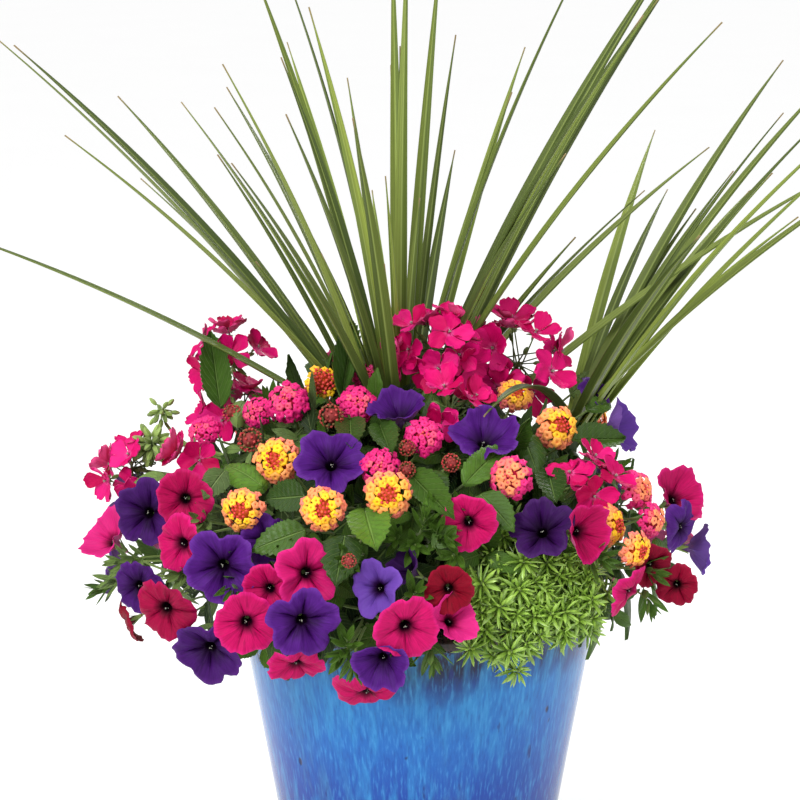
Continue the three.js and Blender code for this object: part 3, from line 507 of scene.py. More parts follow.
# %% Petunia templates
TRUMPET = [
    (0.05, -0.9), (0.065, -0.7), (0.09, -0.53), (0.12, -0.41), (0.15, -0.32), (0.185, -0.25),
    (0.25, -0.19), (0.36, -0.14), (0.49, -0.098), (0.62, -0.06), (0.75, -0.028), (0.87, -0.008),
    (0.95, -0.012), (1.0, -0.045),
]
LOBES = 5
LIMB_STEPS = 55
THROAT = 0.18


def bell(across, width):
    """1 in the middle, falling smoothly to 0 beyond a width."""
    return math.exp(-((across / width) ** 2))


def petunia_limb(name, lobe, notch, ruffle, cup, groove, curls):
    """A limb with its lobes, ruffles and grooves; curls bends each lobe forward or back."""
    bm = spun(TRUMPET, LIMB_STEPS)
    petal = bm.verts.layers.float_vector["petal"]
    phase = 5 * curls[0] + name.count("e")
    for v in bm.verts:
        angle = math.atan2(v.co.y, v.co.x)
        reach = math.hypot(v.co.x, v.co.y)
        v[petal] = (math.cos(angle), math.sin(angle), reach)
        open_share = max(0.0, (reach - THROAT) / (1 - THROAT))
        lobes_on = angle * LOBES / (2 * math.pi)
        across = 2 * (lobes_on - round(lobes_on))
        curl = curls[round(lobes_on) % LOBES] * math.cos(across * math.pi / 2) ** 0.7
        edge = lobe * (1 - 2 * across**2) - notch * abs(across) ** 7 - 0.045 * bell(across, 0.15)
        edge += 0.045 * math.sin(3 * angle + phase) + 0.02 * math.sin(17 * angle + 2 * phase)
        spread = 1 + edge * open_share**2 - 0.25 * abs(curl) * open_share**3
        waves = 0.6 * math.sin(7 * angle + phase) + 0.5 * math.sin(12 * angle + 2 * phase)
        waves += 0.3 * math.sin(19 * angle)
        rise = ruffle * waves * open_share**2.2 + cup * open_share**1.6 + curl * open_share**2.5
        rise -= groove * bell(across, 0.2) * math.sin(math.pi * min(open_share, 1) ** 0.6)
        rise += 0.8 * groove * abs(across) ** 4 * math.sin(math.pi * min(open_share, 1) ** 0.8)
        v.co = Vector((v.co.x * spread, v.co.y * spread, v.co.z + rise))
    thicken(bm, 0.018)
    return template(bm, name)


PETUNIA_FORMS = [
    petunia_limb("petunia_open", 0.03, 0.1, 0.05, 0.02, 0.09, (0.08, -0.12, 0.05, -0.16, 0.04)),
    petunia_limb("petunia_wavy", 0.05, 0.14, 0.08, -0.04, 0.11, (-0.22, 0.08, -0.1, 0.14, -0.2)),
    petunia_limb("petunia_cupped", 0.06, 0.13, 0.07, 0.36, 0.13, (0.14, -0.1, 0.2, -0.04, 0.08)),
    petunia_limb("petunia_reflexed", 0.09, 0.12, 0.07, -0.22, 0.11, (-0.14, -0.26, 0.04, -0.2, 0.06)),
    petunia_limb("petunia_star", 0.13, 0.08, 0.045, 0.1, 0.17, (0.0, 0.1, -0.16, 0.06, -0.1)),
    petunia_limb("petunia_folded", 0.05, 0.16, 0.09, 0.12, 0.12, (0.4, -0.08, -0.18, 0.1, 0.3)),
]



def sepal_rule(p):
    half = 0.075 * math.sin(math.pi * (0.12 + 0.86 * p.y))
    return Vector((p.x * half, 0.06 + 0.2 * p.y**1.5, -0.85 + 0.52 * p.y + 0.03 * abs(p.x)))


sepal = sheet_of(2, 5)
reshape(sepal, sepal_rule)
thicken(sepal, 0.02)
SEPAL = template(sepal, "petunia_sepal", 1)
cup = spun([(0, -0.92), (0.06, -0.9), (0.095, -0.8), (0.075, -0.7), (0, -0.7)], 8)
CALYX_CUP = template(cup, "calyx_cup", 1)
bead = blank()
bmesh.ops.create_icosphere(bead, subdivisions=1, radius=1)
BEAD = template(bead, "bead", 2)
PISTIL_SPOTS = [(0.01, 0.0, -0.2, 0.026), (0.05, 0.03, -0.24, 0.018), (-0.03, 0.05, -0.26, 0.016)]


def petunia(bm, place, face, size, spin, tint, form):
    """One bloom with its calyx and the pistil in its throat."""
    at = frame_at(place, face, spin, size)
    plant(bm, PETUNIA_FORMS[form % len(PETUNIA_FORMS)], at, tint)
    plant(bm, CALYX_CUP, at, 0.6)
    for i in range(LOBES):
        plant(bm, SEPAL, at @ Matrix.Rotation(2 * math.pi * (i + 0.5) / LOBES, 4, "Z"), 0.5 + 0.08 * i)
    for x, y, z, radius in PISTIL_SPOTS:
        plant(bm, BEAD, at @ Matrix.Translation((x, y, z)) @ Matrix.Scale(radius, 4))

# %% [markdown]
# ## Stems that carry the blooms
# Every spray rises from the soil, forks just outside the leafy core, and sends a curved stalk to
# the back of each bloom. The bends are set by the direction that the bloom faces, so a stalk always
# comes up behind it.

# %% Spray stems
FORK_HEIGHT = 24
SOIL_RING = 95


def from_soil(place, radius=SOIL_RING):
    """A place on the soil below a place of the planting."""
    flat = Vector((place.x, place.y, 0))
    if flat.length > radius:
        flat *= radius / flat.length
    return Vector((flat.x, flat.y, SOIL_TOP + 2))


def spray_stems(bm, blooms, necks, stalk, tint=0.35):
    """The stem from the soil to the fork, and a stalk from there to each neck."""
    middle = sum((bloom["place"] for bloom in blooms), Vector()) / len(blooms)
    fork = root_of(middle, -FORK_HEIGHT)
    base = from_soil(fork)
    knee = Vector((fork.x * 0.8, fork.y * 0.8, max(fork.z, POT_HEIGHT + 20)))
    stem(bm, base, knee, fork, stalk * 1.6, stalk * 1.15, tint)
    for bloom, neck in zip(blooms, necks):
        behind = neck - bloom["face"] * 0.45 * (neck - fork).length
        stem(bm, fork, behind, neck, stalk * 1.1, stalk * 0.8, tint + 0.15)


def front_blooms(rows, index):
    """Blooms from rows of pixel x and y, radius in pixels, turn, lift, nearer and the rest."""
    blooms = []
    for i, (px, py, radius, turn, lift, nearer, *rest) in enumerate(rows):
        place = on_dome(px, py, nearer)
        blooms.append({
            "place": place, "face": facing(turn, lift), "size": radius * mm_per_pixel_at(place),
            "spin": GOLDEN_TURN * (3 * index + i), "rest": rest,
        })
    return blooms


FIRST_BACK = 36
AROUND = {"petunia": [(-7, 7), (6, -9)], "lantana": [(-9, 5), (8, -6)], "geranium": [(0, 0)]}


def back_blooms(kind, middle, radius, index, rest):
    """Blooms of the sides and back, spread round the spray's middle."""
    random = seeded(1000 + 37 * index)
    blooms = []
    for aside, above in AROUND[kind]:
        bearing = middle[0] + aside
        steepness = middle[1] + above + 3 * (random() - 0.5)
        up = BLOOM_DOWN if steepness < 0 else BLOOM_UP
        blooms.append({
            "place": on_layer(bearing, steepness, BLOOM_ACROSS - 6, up),
            "face": facing(bearing + 16 * (random() - 0.5), 0.8 * steepness + 12 * random()),
            "size": radius * (0.92 + 0.16 * random()), "spin": random() * 2 * math.pi, "rest": rest,
        })
    return blooms


middle_fork = root_of(on_dome(400, 520, 0), -FORK_HEIGHT)
print("a spray in the middle of the front forks at", [round(c) for c in middle_fork])

# %% [markdown]
# ## Placing the petunias
# Each row is one bloom: the pixel of its middle, its radius in pixels, how far it turns to the right
# and lifts, how much nearer it stands than the dome, its tint from dark 0 to bright 1, and its form.
# The tint is painted shade and painted light: low for a bloom that sits in shade, high for a lit one.
# The sprays of the back are placed by bearing and steepness.

# %% Petunias
PETUNIAS = {
    "petunia_magenta_1": [(184, 499, 30, -8, 10, 6, 0.3, 0), (179, 545, 31, -32, -2, 24, 0.5, 1)],
    "petunia_magenta_2": [
        (109, 538, 29, -56, 40, 0, 0.85, 2), (163, 611, 33, -22, -12, 22, 0.2, 1),
        (123, 625, 24, -75, -25, 0, 0.05, 3)],
    "petunia_magenta_3": [
        (246, 624, 33, 0, -2, 34, 0.55, 0), (308, 573, 33, 14, 12, 8, 0.7, 4),
        (268, 590, 27, -15, 0, 0, 0.5, 0)],
    "petunia_magenta_4": [(297, 669, 30, 8, -48, 0, 0.5, 1), (366, 699, 34, -3, -52, 0, 0.4, 3)],
    "petunia_magenta_5": [
        (407, 629, 34, 12, -8, 22, 0.6, 0), (452, 620, 26, 35, 30, 0, 0.9, 2),
        (449, 590, 26, 4, 0, 12, 0.0, 0)],
    "petunia_magenta_6": [(469, 523, 29, 0, 4, 8, 0.45, 0)],
    "petunia_magenta_7": [(677, 497, 30, 44, 34, 0, 0.6, 2), (582, 532, 30, 44, 6, 14, 0.4, 2)],
    "petunia_magenta_8": [
        (634, 594, 29, 62, -28, 0, 0.5, 3), (677, 586, 22, -5, -5, 20, 0.1, 1),
        (653, 566, 23, 30, -10, 0, 0.1, 0)],
    "petunia_purple_1": [(145, 513, 32, -24, 12, 0, 0.2, 4), (137, 587, 27, -18, 0, 6, 0.25, 1)],
    "petunia_purple_2": [(221, 567, 36, -12, 2, 14, 0.5, 4), (208, 652, 35, -14, -22, 0, 0.25, 4)],
    "petunia_purple_3": [(303, 623, 35, 10, -6, 16, 0.5, 4), (382, 661, 29, -8, -18, 12, 0.45, 2)],
    "petunia_purple_4": [(376, 588, 28, -35, 12, 4, 0.95, 4), (408, 570, 23, -60, 30, -14, 0.2, 2)],
    "petunia_purple_5": [(331, 461, 35, 0, 45, 6, 0.5, 4), (268, 540, 27, 20, 10, -12, 0.45, 3)],
    "petunia_purple_6": [(399, 413, 30, -24, 70, 0, 0.4, 2), (485, 437, 36, 16, 66, 4, 0.5, 5)],
    "petunia_purple_7": [(541, 529, 32, -16, 42, 4, 0.1, 4)],
    "petunia_purple_8": [(617, 427, 28, 72, 15, 0, 0.85, 2), (597, 392, 21, 60, 40, 14, 0.6, 1)],
    "petunia_purple_9": [(686, 529, 28, 58, -8, 6, 0.6, 3), (697, 548, 26, 85, 0, -30, 0.95, 2)],
}
BACK_PETUNIAS = [
    ("petunia_magenta_back_1", (112, 0), 29), ("petunia_magenta_back_2", (166, -2), 30),
    ("petunia_magenta_back_3", (232, 2), 29), ("petunia_purple_back_1", (139, 4), 29),
    ("petunia_purple_back_2", (199, 0), 30), ("petunia_purple_back_3", (262, 6), 29),
]


def petunia_piece(node, blooms):
    bm = blank()
    necks = [bloom["place"] - bloom["face"] * 0.88 * bloom["size"] for bloom in blooms]
    spray_stems(bm, blooms, necks, 1.3)
    for bloom in blooms:
        petunia(bm, bloom["place"], bloom["face"], bloom["size"], bloom["spin"], *bloom["rest"])
    colour = node.split("_")[1]
    petals = {"magenta": MAGENTA_PETAL, "purple": PURPLE_PETAL}[colour]
    finish_piece(bm, node + "_blooms", [node], "petunia_" + colour, [petals, STEM_GREEN, PISTIL])


for index, (node, rows) in enumerate(PETUNIAS.items()):
    petunia_piece(node, front_blooms(rows, index))
for index, (node, middle, radius) in enumerate(BACK_PETUNIAS):
    blooms = back_blooms("petunia", middle, radius, FIRST_BACK + index, None)
    for i, bloom in enumerate(blooms):
        bloom["rest"] = (0.4 + 0.15 * i, index + i)
    petunia_piece(node, blooms)

# %% [markdown]
# ## Lantana heads
# A lantana head is a dome of small five-lobed florets, each with a hole in its middle, that stand in
# rings round a cluster of unopened square buds. Colours run by age: red buds, yellow when they open,
# then orange and pink at the edge, so the tint of a floret is set by how far out it stands.

# %% Lantana templates and finishes
floret = spun([
    (0, -0.08), (0.13, 0.0), (0.26, 0.15), (0.58, 0.24), (0.88, 0.1), (0.98, -0.14), (0, -0.5)], 10)
petal_mark = floret.verts.layers.float_vector["petal"]
for v in floret.verts:
    turn, out = math.atan2(v.co.y, v.co.x), math.hypot(v.co.x, v.co.y)
    v[petal_mark] = (math.cos(turn), math.sin(turn), out if v.co.z > -0.42 else 1.2)
    if out > 0.5:
        v.co *= 1 + 0.15 * math.cos(5 * turn)
FLORET = template(floret, "lantana_floret")
bud = spun([(0, 0.75), (0.6, 0.6), (0.95, 0.1), (0.6, -0.6), (0, -0.8)], 8)
bud_mark = bud.verts.layers.float_vector["petal"]
for v in bud.verts:
    turn, out = math.atan2(v.co.y, v.co.x), math.hypot(v.co.x, v.co.y)
    v[bud_mark] = (math.cos(turn), math.sin(turn), 0.55 + 0.4 * (v.co.z > 0.3))
    square = 1 + 0.16 * math.cos(4 * turn)
    v.co = Vector((v.co.x * square, v.co.y * square, v.co.z))
BUD = template(bud, "lantana_bud")
receptacle = spun([(0, 0.6), (0.45, 0.45), (0.62, 0.05), (0.4, -0.35), (0, -0.45)], 12)
RECEPTACLE = template(receptacle, "receptacle")


def floret_finish(name, stops, hole):
    """A floret's colour by its tint, with a deeper ring round its hole."""
    material, tree, shader = start_finish(name, roughness=0.45, specular_ior_level=0.15)
    reach = on_petal(tree)[2]
    mottle = speckle(place_of(tree), 400.0, 2.0)
    colour = ramp(read(tree, "tint") + (mottle - 0.5) * 0.1, stops)
    colour = mixed(step_ramp(reach, 0.3, 0.1) * 0.75, colour, hole)
    dress(shader, shade(colour, mottle * 0.6 + 0.75), mottle, 0.0005, 0.4)
    return material


RED, YELLOW, GOLD = (0.6, 0.045, 0.04), (0.98, 0.6, 0.02), (0.95, 0.45, 0.05)
PEACH, CORAL, ROSE, HOT = (0.92, 0.32, 0.12), (0.82, 0.15, 0.16), (0.75, 0.03, 0.2), (0.5, 0.004, 0.06)
GOLD_FLORET = floret_finish("gold_floret", [
    (0.0, RED), (0.16, (0.68, 0.07, 0.06)), (0.3, YELLOW), (0.5, GOLD), (0.7, PEACH), (1.0, CORAL),
], (0.6, 0.12, 0.01))
PINK_FLORET = floret_finish("pink_floret", [
    (0.0, RED), (0.16, CORAL), (0.3, PEACH), (0.45, CORAL), (0.62, ROSE), (1.0, (0.6, 0.012, 0.15)),
], HOT)
BUD_FINISH = floret_finish("unopened_bud", [
    (0.0, (0.13, 0.2, 0.05)), (0.35, (0.24, 0.06, 0.04)), (0.7, (0.48, 0.04, 0.045)),
    (1.0, (0.6, 0.13, 0.12)),
], (0.25, 0.02, 0.03))
print("lantana finishes:", GOLD_FLORET.name, PINK_FLORET.name, BUD_FINISH.name)


# Rings of open florets: how many, polar angle, size and age of each ring, from young 0 to old 1.
RINGS = [(8, 34, 0.2, 0.0), (11, 56, 0.215, 0.5), (12, 80, 0.215, 0.9), (8, 104, 0.2, 1.05)]
# Kinds of head: buds, how far they spread, the youngest florets' tint and how much age adds to it.
HEADS = {
    "gold": (18, 26, 0.3, 0.55), "pink": (5, 14, 0.6, 0.4), "coral": (5, 14, 0.32, 0.36),
    "bud": (46, 112, 0.0, 0.0), "young": (34, 46, 0.3, 0.1),
}
BUD_SIZES = {"bud": 0.13, "young": 0.1}
STYLES = {"lantana_pink_4": "coral", "lantana_pink_5": "coral", "lantana_gold_1": "young"}


def lantana_head(bm, place, face, size, spin, kind, seed):
    """One head: rings of florets on the dome, and square buds in its middle."""
    random = seeded(seed)
    at = frame_at(place, face, spin)
    buds, bud_spread, youngest, ageing = HEADS[kind]
    closed = kind == "bud"
    plant(bm, RECEPTACLE, at @ Matrix.Scale(size * (1.0 if closed else 0.86), 4), 0.3 if closed else 0.0)

    def on_head(polar, turn, lift):
        direction = facing(0, 90 - polar)
        direction.rotate(Quaternion(WORLD_UP, turn))
        spot = Vector((direction.x * 0.86, direction.y * 0.86, direction.z * 0.62)) * size * lift
        jitter = Vector((random() - 0.5, random() - 0.5, random() - 0.5)) * 0.7
        return spot, (direction + jitter + Vector((0, 0, 0.55))).normalized()

    for direction in cap_directions(buds, bud_spread):
        polar, turn = math.degrees(math.acos(direction.z)), math.atan2(direction.y, direction.x)
        spot, outward = on_head(polar, turn, 1.0 + 0.08 * random())
        bud_size = size * BUD_SIZES.get(kind, 0.07)
        tint = 0.2 + 0.6 * random() if closed else 0.16 * random()
        plant(bm, BUD, at @ frame_at(spot, outward, WHOLE_TURN * random(), bud_size), tint)
    if closed:
        return
    if kind in ("pink", "coral"):
        for i in range(4):
            spot, outward = on_head(15, QUARTER_TURN * i, 1.0)
            plant(bm, FLORET, at @ frame_at(spot, outward, WHOLE_TURN * random(), 0.17 * size), youngest)
    for count, polar, share, age in RINGS[1:2] if kind == "young" else RINGS:
        for i in range(count):
            turn = 6.283 * (i + 0.3 * random()) / count + polar
            spot, outward = on_head(polar + 12 * (random() - 0.5), turn, 0.9 + 0.22 * random())
            tint = youngest + ageing * age + 0.24 * (random() - 0.4)
            own = frame_at(spot, outward, WHOLE_TURN * random(), share * size * (0.84 + 0.34 * random()))
            plant(bm, FLORET, at @ own, min(max(tint, 0.27), 1.0))

# %% [markdown]
# ## Placing the lantana
# The rows are read as the petunias' rows are. Five kinds of head differ in how many of their
# florets have opened and in their tints, and a few sprays take another kind than their name says.

# %% Lantana
LANTANAS = {
    "lantana_pink_1": [(288, 403, 23, -20, 35, 4), (258, 412, 17, -30, 30, -10), (204, 432, 18, -40, 35, 0)],
    "lantana_pink_2": [(357, 405, 20, 5, 30, 8), (368, 378, 16, 0, 50, -10)],
    "lantana_pink_3": [(380, 468, 21, 0, 20, -6), (424, 437, 21, 0, 30, 6)],
    "lantana_pink_4": [(511, 478, 23, -15, 15, 4)],
    "lantana_pink_5": [(636, 490, 21, 50, 20, 4), (650, 520, 19, 60, 5, 0)],
    "lantana_gold_1": [(322, 383, 20, 0, 22, 16)],
    "lantana_gold_2": [(277, 460, 24, -12, 15, 8), (243, 509, 23, -15, 5, 16)],
    "lantana_gold_3": [(322, 509, 24, 0, 10, 16), (388, 494, 25, 0, 12, 16)],
    "lantana_gold_4": [(556, 428, 23, 30, 25, 6), (515, 396, 18, 10, 40, -12)],
    "lantana_gold_5": [(609, 526, 21, 60, 10, -2), (634, 549, 19, 45, -5, 16)],
    "lantana_bud_1": [(331, 416, 13, 0, 25, 14), (250, 440, 13, -15, 30, 6), (232, 413, 10, -25, 45, 6)],
    "lantana_bud_2": [
        (451, 463, 10, 0, 20, 6), (407, 470, 9, 0, 10, 10), (407, 448, 9, 0, 20, 6), (349, 561, 8, 0, 5, 24)],
}
BACK_LANTANAS = [
    ("lantana_gold_back_1", (128, 38)), ("lantana_gold_back_2", (212, 36)),
    ("lantana_pink_back_1", (172, 36)),
]


def lantana_piece(node, blooms, seed):
    kind = node.split("_")[1]
    bm = blank()
    necks = [bloom["place"] - bloom["face"] * 0.4 * bloom["size"] for bloom in blooms]
    spray_stems(bm, blooms, necks, 1.3)
    for i, bloom in enumerate(blooms):
        style = STYLES.get(node, kind)
        lantana_head(bm, bloom["place"], bloom["face"], bloom["size"], bloom["spin"], style, seed + i)
    finish = {"gold": GOLD_FLORET, "pink": PINK_FLORET, "bud": BUD_FINISH}[kind]
    finish_piece(bm, node + "_heads", [node], "lantana_" + kind, [finish, STEM_GREEN])


for index, (node, rows) in enumerate(LANTANAS.items()):
    lantana_piece(node, front_blooms(rows, index), 300 + 10 * index)
for index, (node, middle) in enumerate(BACK_LANTANAS):
    index += len(BACK_PETUNIAS)
    lantana_piece(node, back_blooms("lantana", middle, 21, FIRST_BACK + index, None), 500 + 10 * index)

# %% [markdown]
# ## Geranium heads
# A zonal geranium carries a ball of florets, each of five rounded petals, on thin stalks that
# spread from one point. A petal is a flat sheet that is shaped to a wedge with a round end, cupped
# and slightly crumpled. Five of them make a floret with a small dark middle.

# %% Geranium templates and finish
def geranium_petal(name, ripple, lift):
    bm = sheet_of(6, 7)
    petal = bm.verts.layers.float_vector["petal"]

    def rule(p):
        s = p.y
        half = 0.05 + 0.35 * math.sin(0.5 * math.pi * min(s / 0.74, 1)) ** 1.4
        if s > 0.74:
            half *= math.sqrt(max(1 - ((s - 0.74) / 0.29) ** 2, 0.05))
        out = s * (1 - 0.1 * p.x**2 * s)
        z = lift * s**1.5 + 0.12 * s * p.x**2 + ripple * math.sin(4 * p.x + 8 * s) * s
        return Vector((p.x * half, 0.04 + 0.98 * out, z))

    for v in bm.verts:
        v[petal] = (v.co.x * v.co.y, v.co.y, v.co.y)
    reshape(bm, rule)
    thicken(bm, 0.02)
    return template(bm, name)


GERANIUM_PETALS = [
    geranium_petal("geranium_petal_flat", 0.05, 0.08),
    geranium_petal("geranium_petal_cupped", 0.07, 0.4),
    geranium_petal("geranium_petal_back", 0.08, -0.22),
]
small_sepal = sheet_of(2, 3)
reshape(small_sepal, lambda p: Vector((p.x * 0.09 * (1 - p.y**2), 0.05 + 0.34 * p.y, -0.12 - 0.1 * p.y)))
thicken(small_sepal, 0.02)
SMALL_SEPAL = template(small_sepal, "geranium_sepal", 1)
STAMEN = template(spun([(0, 0.2), (0.035, 0.17), (0.02, 0.08), (0.02, -0.1), (0, -0.1)], 5), "stamen", 2)


def geranium_finish():
    material, tree, shader = start_finish("geranium_petal", roughness=0.5, specular_ior_level=0.1)
    across, reach, _ = on_petal(tree)
    tint = read(tree, "tint")
    lines = speckle(joined(across / (reach + 0.15), reach * 0.25, tint), 7.0)
    colour = ramp(reach, [
        (0.02, (0.25, 0.0, 0.04)), (0.1, (0.62, 0.08, 0.26)), (0.22, (0.58, 0.004, 0.12)),
        (1.0, (0.62, 0.003, 0.14))])
    colour = mixed(step_ramp(lines, 0.52, 0.62) * step_ramp(reach, 0.75, 0.2), colour, (0.4, 0.0, 0.07))
    colour = mixed(step_ramp(tint, 0.5, 1.0), colour, (0.72, 0.018, 0.22))
    colour = mixed(step_ramp(tint, 0.5, 0.0), colour, (0.42, 0.0, 0.055))
    colour = mixed(read(tree, "under") * 0.35, colour, (0.85, 0.2, 0.42))
    dress(shader, shade(colour, lines * 0.4 + 0.8), lines, 0.001, 0.35)
    return material


GERANIUM_PINK = geranium_finish()


def geranium_floret(bm, at, hub, random):
    """Five petals, sepals, a few stamens and the stalk back to the hub."""
    mood = random()
    for i in range(LOBES):
        turn = 2 * math.pi * i / LOBES + 0.3 * (random() - 0.5)
        pattern = GERANIUM_PETALS[int(3 * (0.6 * mood + 0.4 * random())) % 3]
        size = 1.12 * (0.92 + 0.16 * random())
        own = at @ Matrix.Rotation(turn, 4, "Z") @ Matrix.Rotation(0.6 * (random() - 0.4), 4, "X")
        own = own @ Matrix.Scale(size, 4) @ Matrix.Translation((0, 0, 0.02 * (i % 2)))
        plant(bm, pattern, own, 0.1 + 0.7 * random())
    for i in range(LOBES):
        plant(bm, SMALL_SEPAL, at @ Matrix.Rotation(2 * math.pi * (i + 0.5) / LOBES, 4, "Z"), 0.4)
    for i in range(3):
        lean = Matrix.Rotation(2.1 * i, 4, "Z") @ Matrix.Rotation(0.3, 4, "X")
        plant(bm, STAMEN, at @ lean, 0.5)
    end = at @ Vector((0, 0, -0.1))
    way = at.to_3x3() @ Vector((0, 0, -1))
    stem(bm, hub, (hub + end) / 2 + way * 4, end, 0.9, 0.7, 0.25)


def geranium_head(bm, place, face, size, spin, count, extra, seed):
    random = seeded(seed)
    at = frame_at(place, face, spin)
    hub = at @ Vector((0, 0, -0.5 * size))
    reach = 0.92 * size
    floret_size = min(max(0.5 * size, 18), 21)
    directions = cap_directions(count, 88) + cap_directions(count + extra, 100)[count // 2:][:extra]
    for i, direction in enumerate(directions):
        turned = at.to_3x3() @ direction
        jitter = Vector((random() - 0.5, random() - 0.5, random() - 0.5)) * 0.8
        out = turned + at.to_3x3() @ Vector((0, 0, 0.25)) + jitter
        centre = hub + turned * reach * (1.0 if i < count else 0.82)
        own_size = floret_size * (1.0 if i < count else 0.9)
        own = frame_at(centre, out.normalized(), WHOLE_TURN * random(), own_size)
        geranium_floret(bm, own, hub, random)
    for direction in cap_directions(7, 120):
        tip = hub + (at.to_3x3() @ direction) * reach * (0.35 + 0.3 * random())
        stem(bm, hub, (hub + tip) / 2, tip, 0.8, 0.6, 0.3)
        plant(bm, GREEN_BUD, frame_at(tip, at.to_3x3() @ direction, 0, 4.2), 0.2 + 0.5 * random())


green_bud = spun([(0, 1.2), (0.3, 0.9), (0.5, 0.2), (0.42, -0.4), (0.15, -0.8), (0, -0.8)], 10)
reshape(green_bud, lambda p: Vector((p.x, p.y, p.z)) * (1 + 0.08 * math.cos(5 * math.atan2(p.y, p.x))))
GREEN_BUD = template(green_bud, "geranium_green_bud", 1)

# %% [markdown]
# ## Placing the geraniums
# The last two numbers of a row are the florets that the head has in the solids, and how many more
# are tucked between them here, as in a full head.

# %% Geraniums
GERANIUMS = {
    "geranium_1": [(434, 341, 42, -10, 40, 130, 6, 9)],
    "geranium_2": [(521, 352, 50, 10, 40, 74, 7, 5)],
    "geranium_3": [(450, 404, 30, -6, 30, 26, 3, 2)],
    "geranium_4": [(222, 347, 36, -45, 50, 0, 5, 2)],
    "geranium_5": [(118, 467, 32, -55, 15, 0, 4, 3), (190, 462, 26, -25, 15, 2, 3, 2)],
    "geranium_6": [(594, 484, 34, 28, 18, 6, 5, 3)],
}
BACK_GERANIUMS = [("geranium_back_1", (194, 60), 40), ("geranium_back_2", (248, 50), 36)]


def geranium_piece(node, blooms, seed):
    bm = blank()
    necks = [bloom["place"] - bloom["face"] * 0.5 * bloom["size"] for bloom in blooms]
    spray_stems(bm, blooms, necks, 2.2, 0.45)
    for i, bloom in enumerate(blooms):
        count, extra = bloom["rest"]
        geranium_head(bm, bloom["place"], bloom["face"], bloom["size"], bloom["spin"], count, extra, seed + i)
    finish_piece(bm, node + "_heads", [node], "geranium_pink", [GERANIUM_PINK, STEM_GREEN, PISTIL])


for index, (node, rows) in enumerate(GERANIUMS.items()):
    geranium_piece(node, front_blooms(rows, index), 700 + 10 * index)
first_back = FIRST_BACK + len(BACK_PETUNIAS) + len(BACK_LANTANAS)
for index, (node, middle, radius) in enumerate(BACK_GERANIUMS):
    blooms = back_blooms("geranium", middle, radius, first_back + index, (5, 4))
    geranium_piece(node, blooms, 900 + 10 * index)

# %% [markdown]
# ## Geranium buds
# Before it opens, a geranium head is a nodding cluster of green, pointed buds, each held by sepals
# with pale edges. A turned drop with five shallow ribs stands for the closed sepals.

# %% Geranium buds
BUD_CLUSTERS = [(152, 443, 22, -30, 5, 16, 17), (162, 411, 16, -10, 70, 0, 9)]
clusters = front_blooms(BUD_CLUSTERS, 2)
bm = blank()
spray_stems(bm, clusters, [c["place"] for c in clusters], 2.0, 0.5)
random = seeded(77)
for cluster in clusters:
    for direction in cap_directions(2 * cluster["rest"][0], 130):
        at = frame_at(cluster["place"], cluster["face"])
        way = (at.to_3x3() @ direction - WORLD_UP * 0.35).normalized()
        tip = cluster["place"] + way * cluster["size"] * (0.42 + 0.4 * random())
        stem(bm, cluster["place"], (cluster["place"] + tip) / 2 + WORLD_UP * 3, tip, 0.8, 0.7, 0.5)
        own = frame_at(tip, way, WHOLE_TURN * random(), 0.3 * cluster["size"])
        plant(bm, GREEN_BUD, own, 0.4 + 0.6 * random())
finish_piece(bm, "geranium_bud_clusters", ["geranium_buds"], "geranium_bud", [GERANIUM_PINK, STEM_GREEN])

# %% [markdown]
# ## Leaf finishes
# A lantana leaf is quilted: the blade swells between sunken side veins, with a pale midrib. The
# veins are drawn from the blade's own coordinates, so they follow every fold. The same recipe, with
# other greens and fewer veins, serves petunia and geranium leaves.

# %% Leaf finish
def leaf_finish(name, deep, fresh, vein, back, side_veins, slant, roughness):
    material, tree, shader = start_finish(name, roughness=roughness, specular_ior_level=0.16)
    x, along, _ = on_petal(tree)
    across = x.sum("ABSOLUTE")
    spots = place_of(tree)
    wander = (speckle(spots, 60.0, 2.0) - 0.5) * 0.06
    phase = along + wander - across * slant
    side_vein = step_ramp((phase * (side_veins * 2 * math.pi)).sum("COSINE"), 0.8, 0.98)
    veins = (side_vein * 0.6).sum("MAXIMUM", step_ramp(across, 0.1, 0.02))
    mottle = speckle(spots, 120.0, 4.0)
    colour = shade(mixed(read(tree, "tint"), deep, fresh), mottle * 0.8 + 0.6)
    colour = mixed(veins * 0.7, colour, mixed(0.5, colour, vein))
    colour = mixed(read(tree, "under") * 0.7, colour, back)
    dress(shader, colour, mottle * 0.35 - veins, 0.0016, 0.9)
    return material


LANTANA_LEAF = leaf_finish(
    "lantana_leaf", deep=(0.007, 0.02, 0.005), fresh=(0.085, 0.18, 0.02), vein=(0.22, 0.34, 0.09),
    back=(0.1, 0.17, 0.045), side_veins=9, slant=0.3, roughness=0.36)
PETUNIA_LEAF = leaf_finish(
    "petunia_leaf", deep=(0.014, 0.03, 0.008), fresh=(0.19, 0.29, 0.075), vein=(0.32, 0.42, 0.17),
    back=(0.17, 0.23, 0.1), side_veins=5, slant=0.35, roughness=0.48)
GERANIUM_LEAF = leaf_finish(
    "geranium_leaf", deep=(0.01, 0.025, 0.007), fresh=(0.085, 0.16, 0.025), vein=(0.2, 0.3, 0.09),
    back=(0.09, 0.15, 0.045), side_veins=4, slant=0.6, roughness=0.48)
print("leaf finishes made")

# %% [markdown]
# ## Leaf templates
# A leaf starts as a flat sheet. A rule gives it the outline, the teeth of its edge, a fold along
# the midrib, swellings between the veins and a droop. The fine ones are for the large leaves that
# show, the simpler ones for the shoots, and the plain ones for the shade behind them.

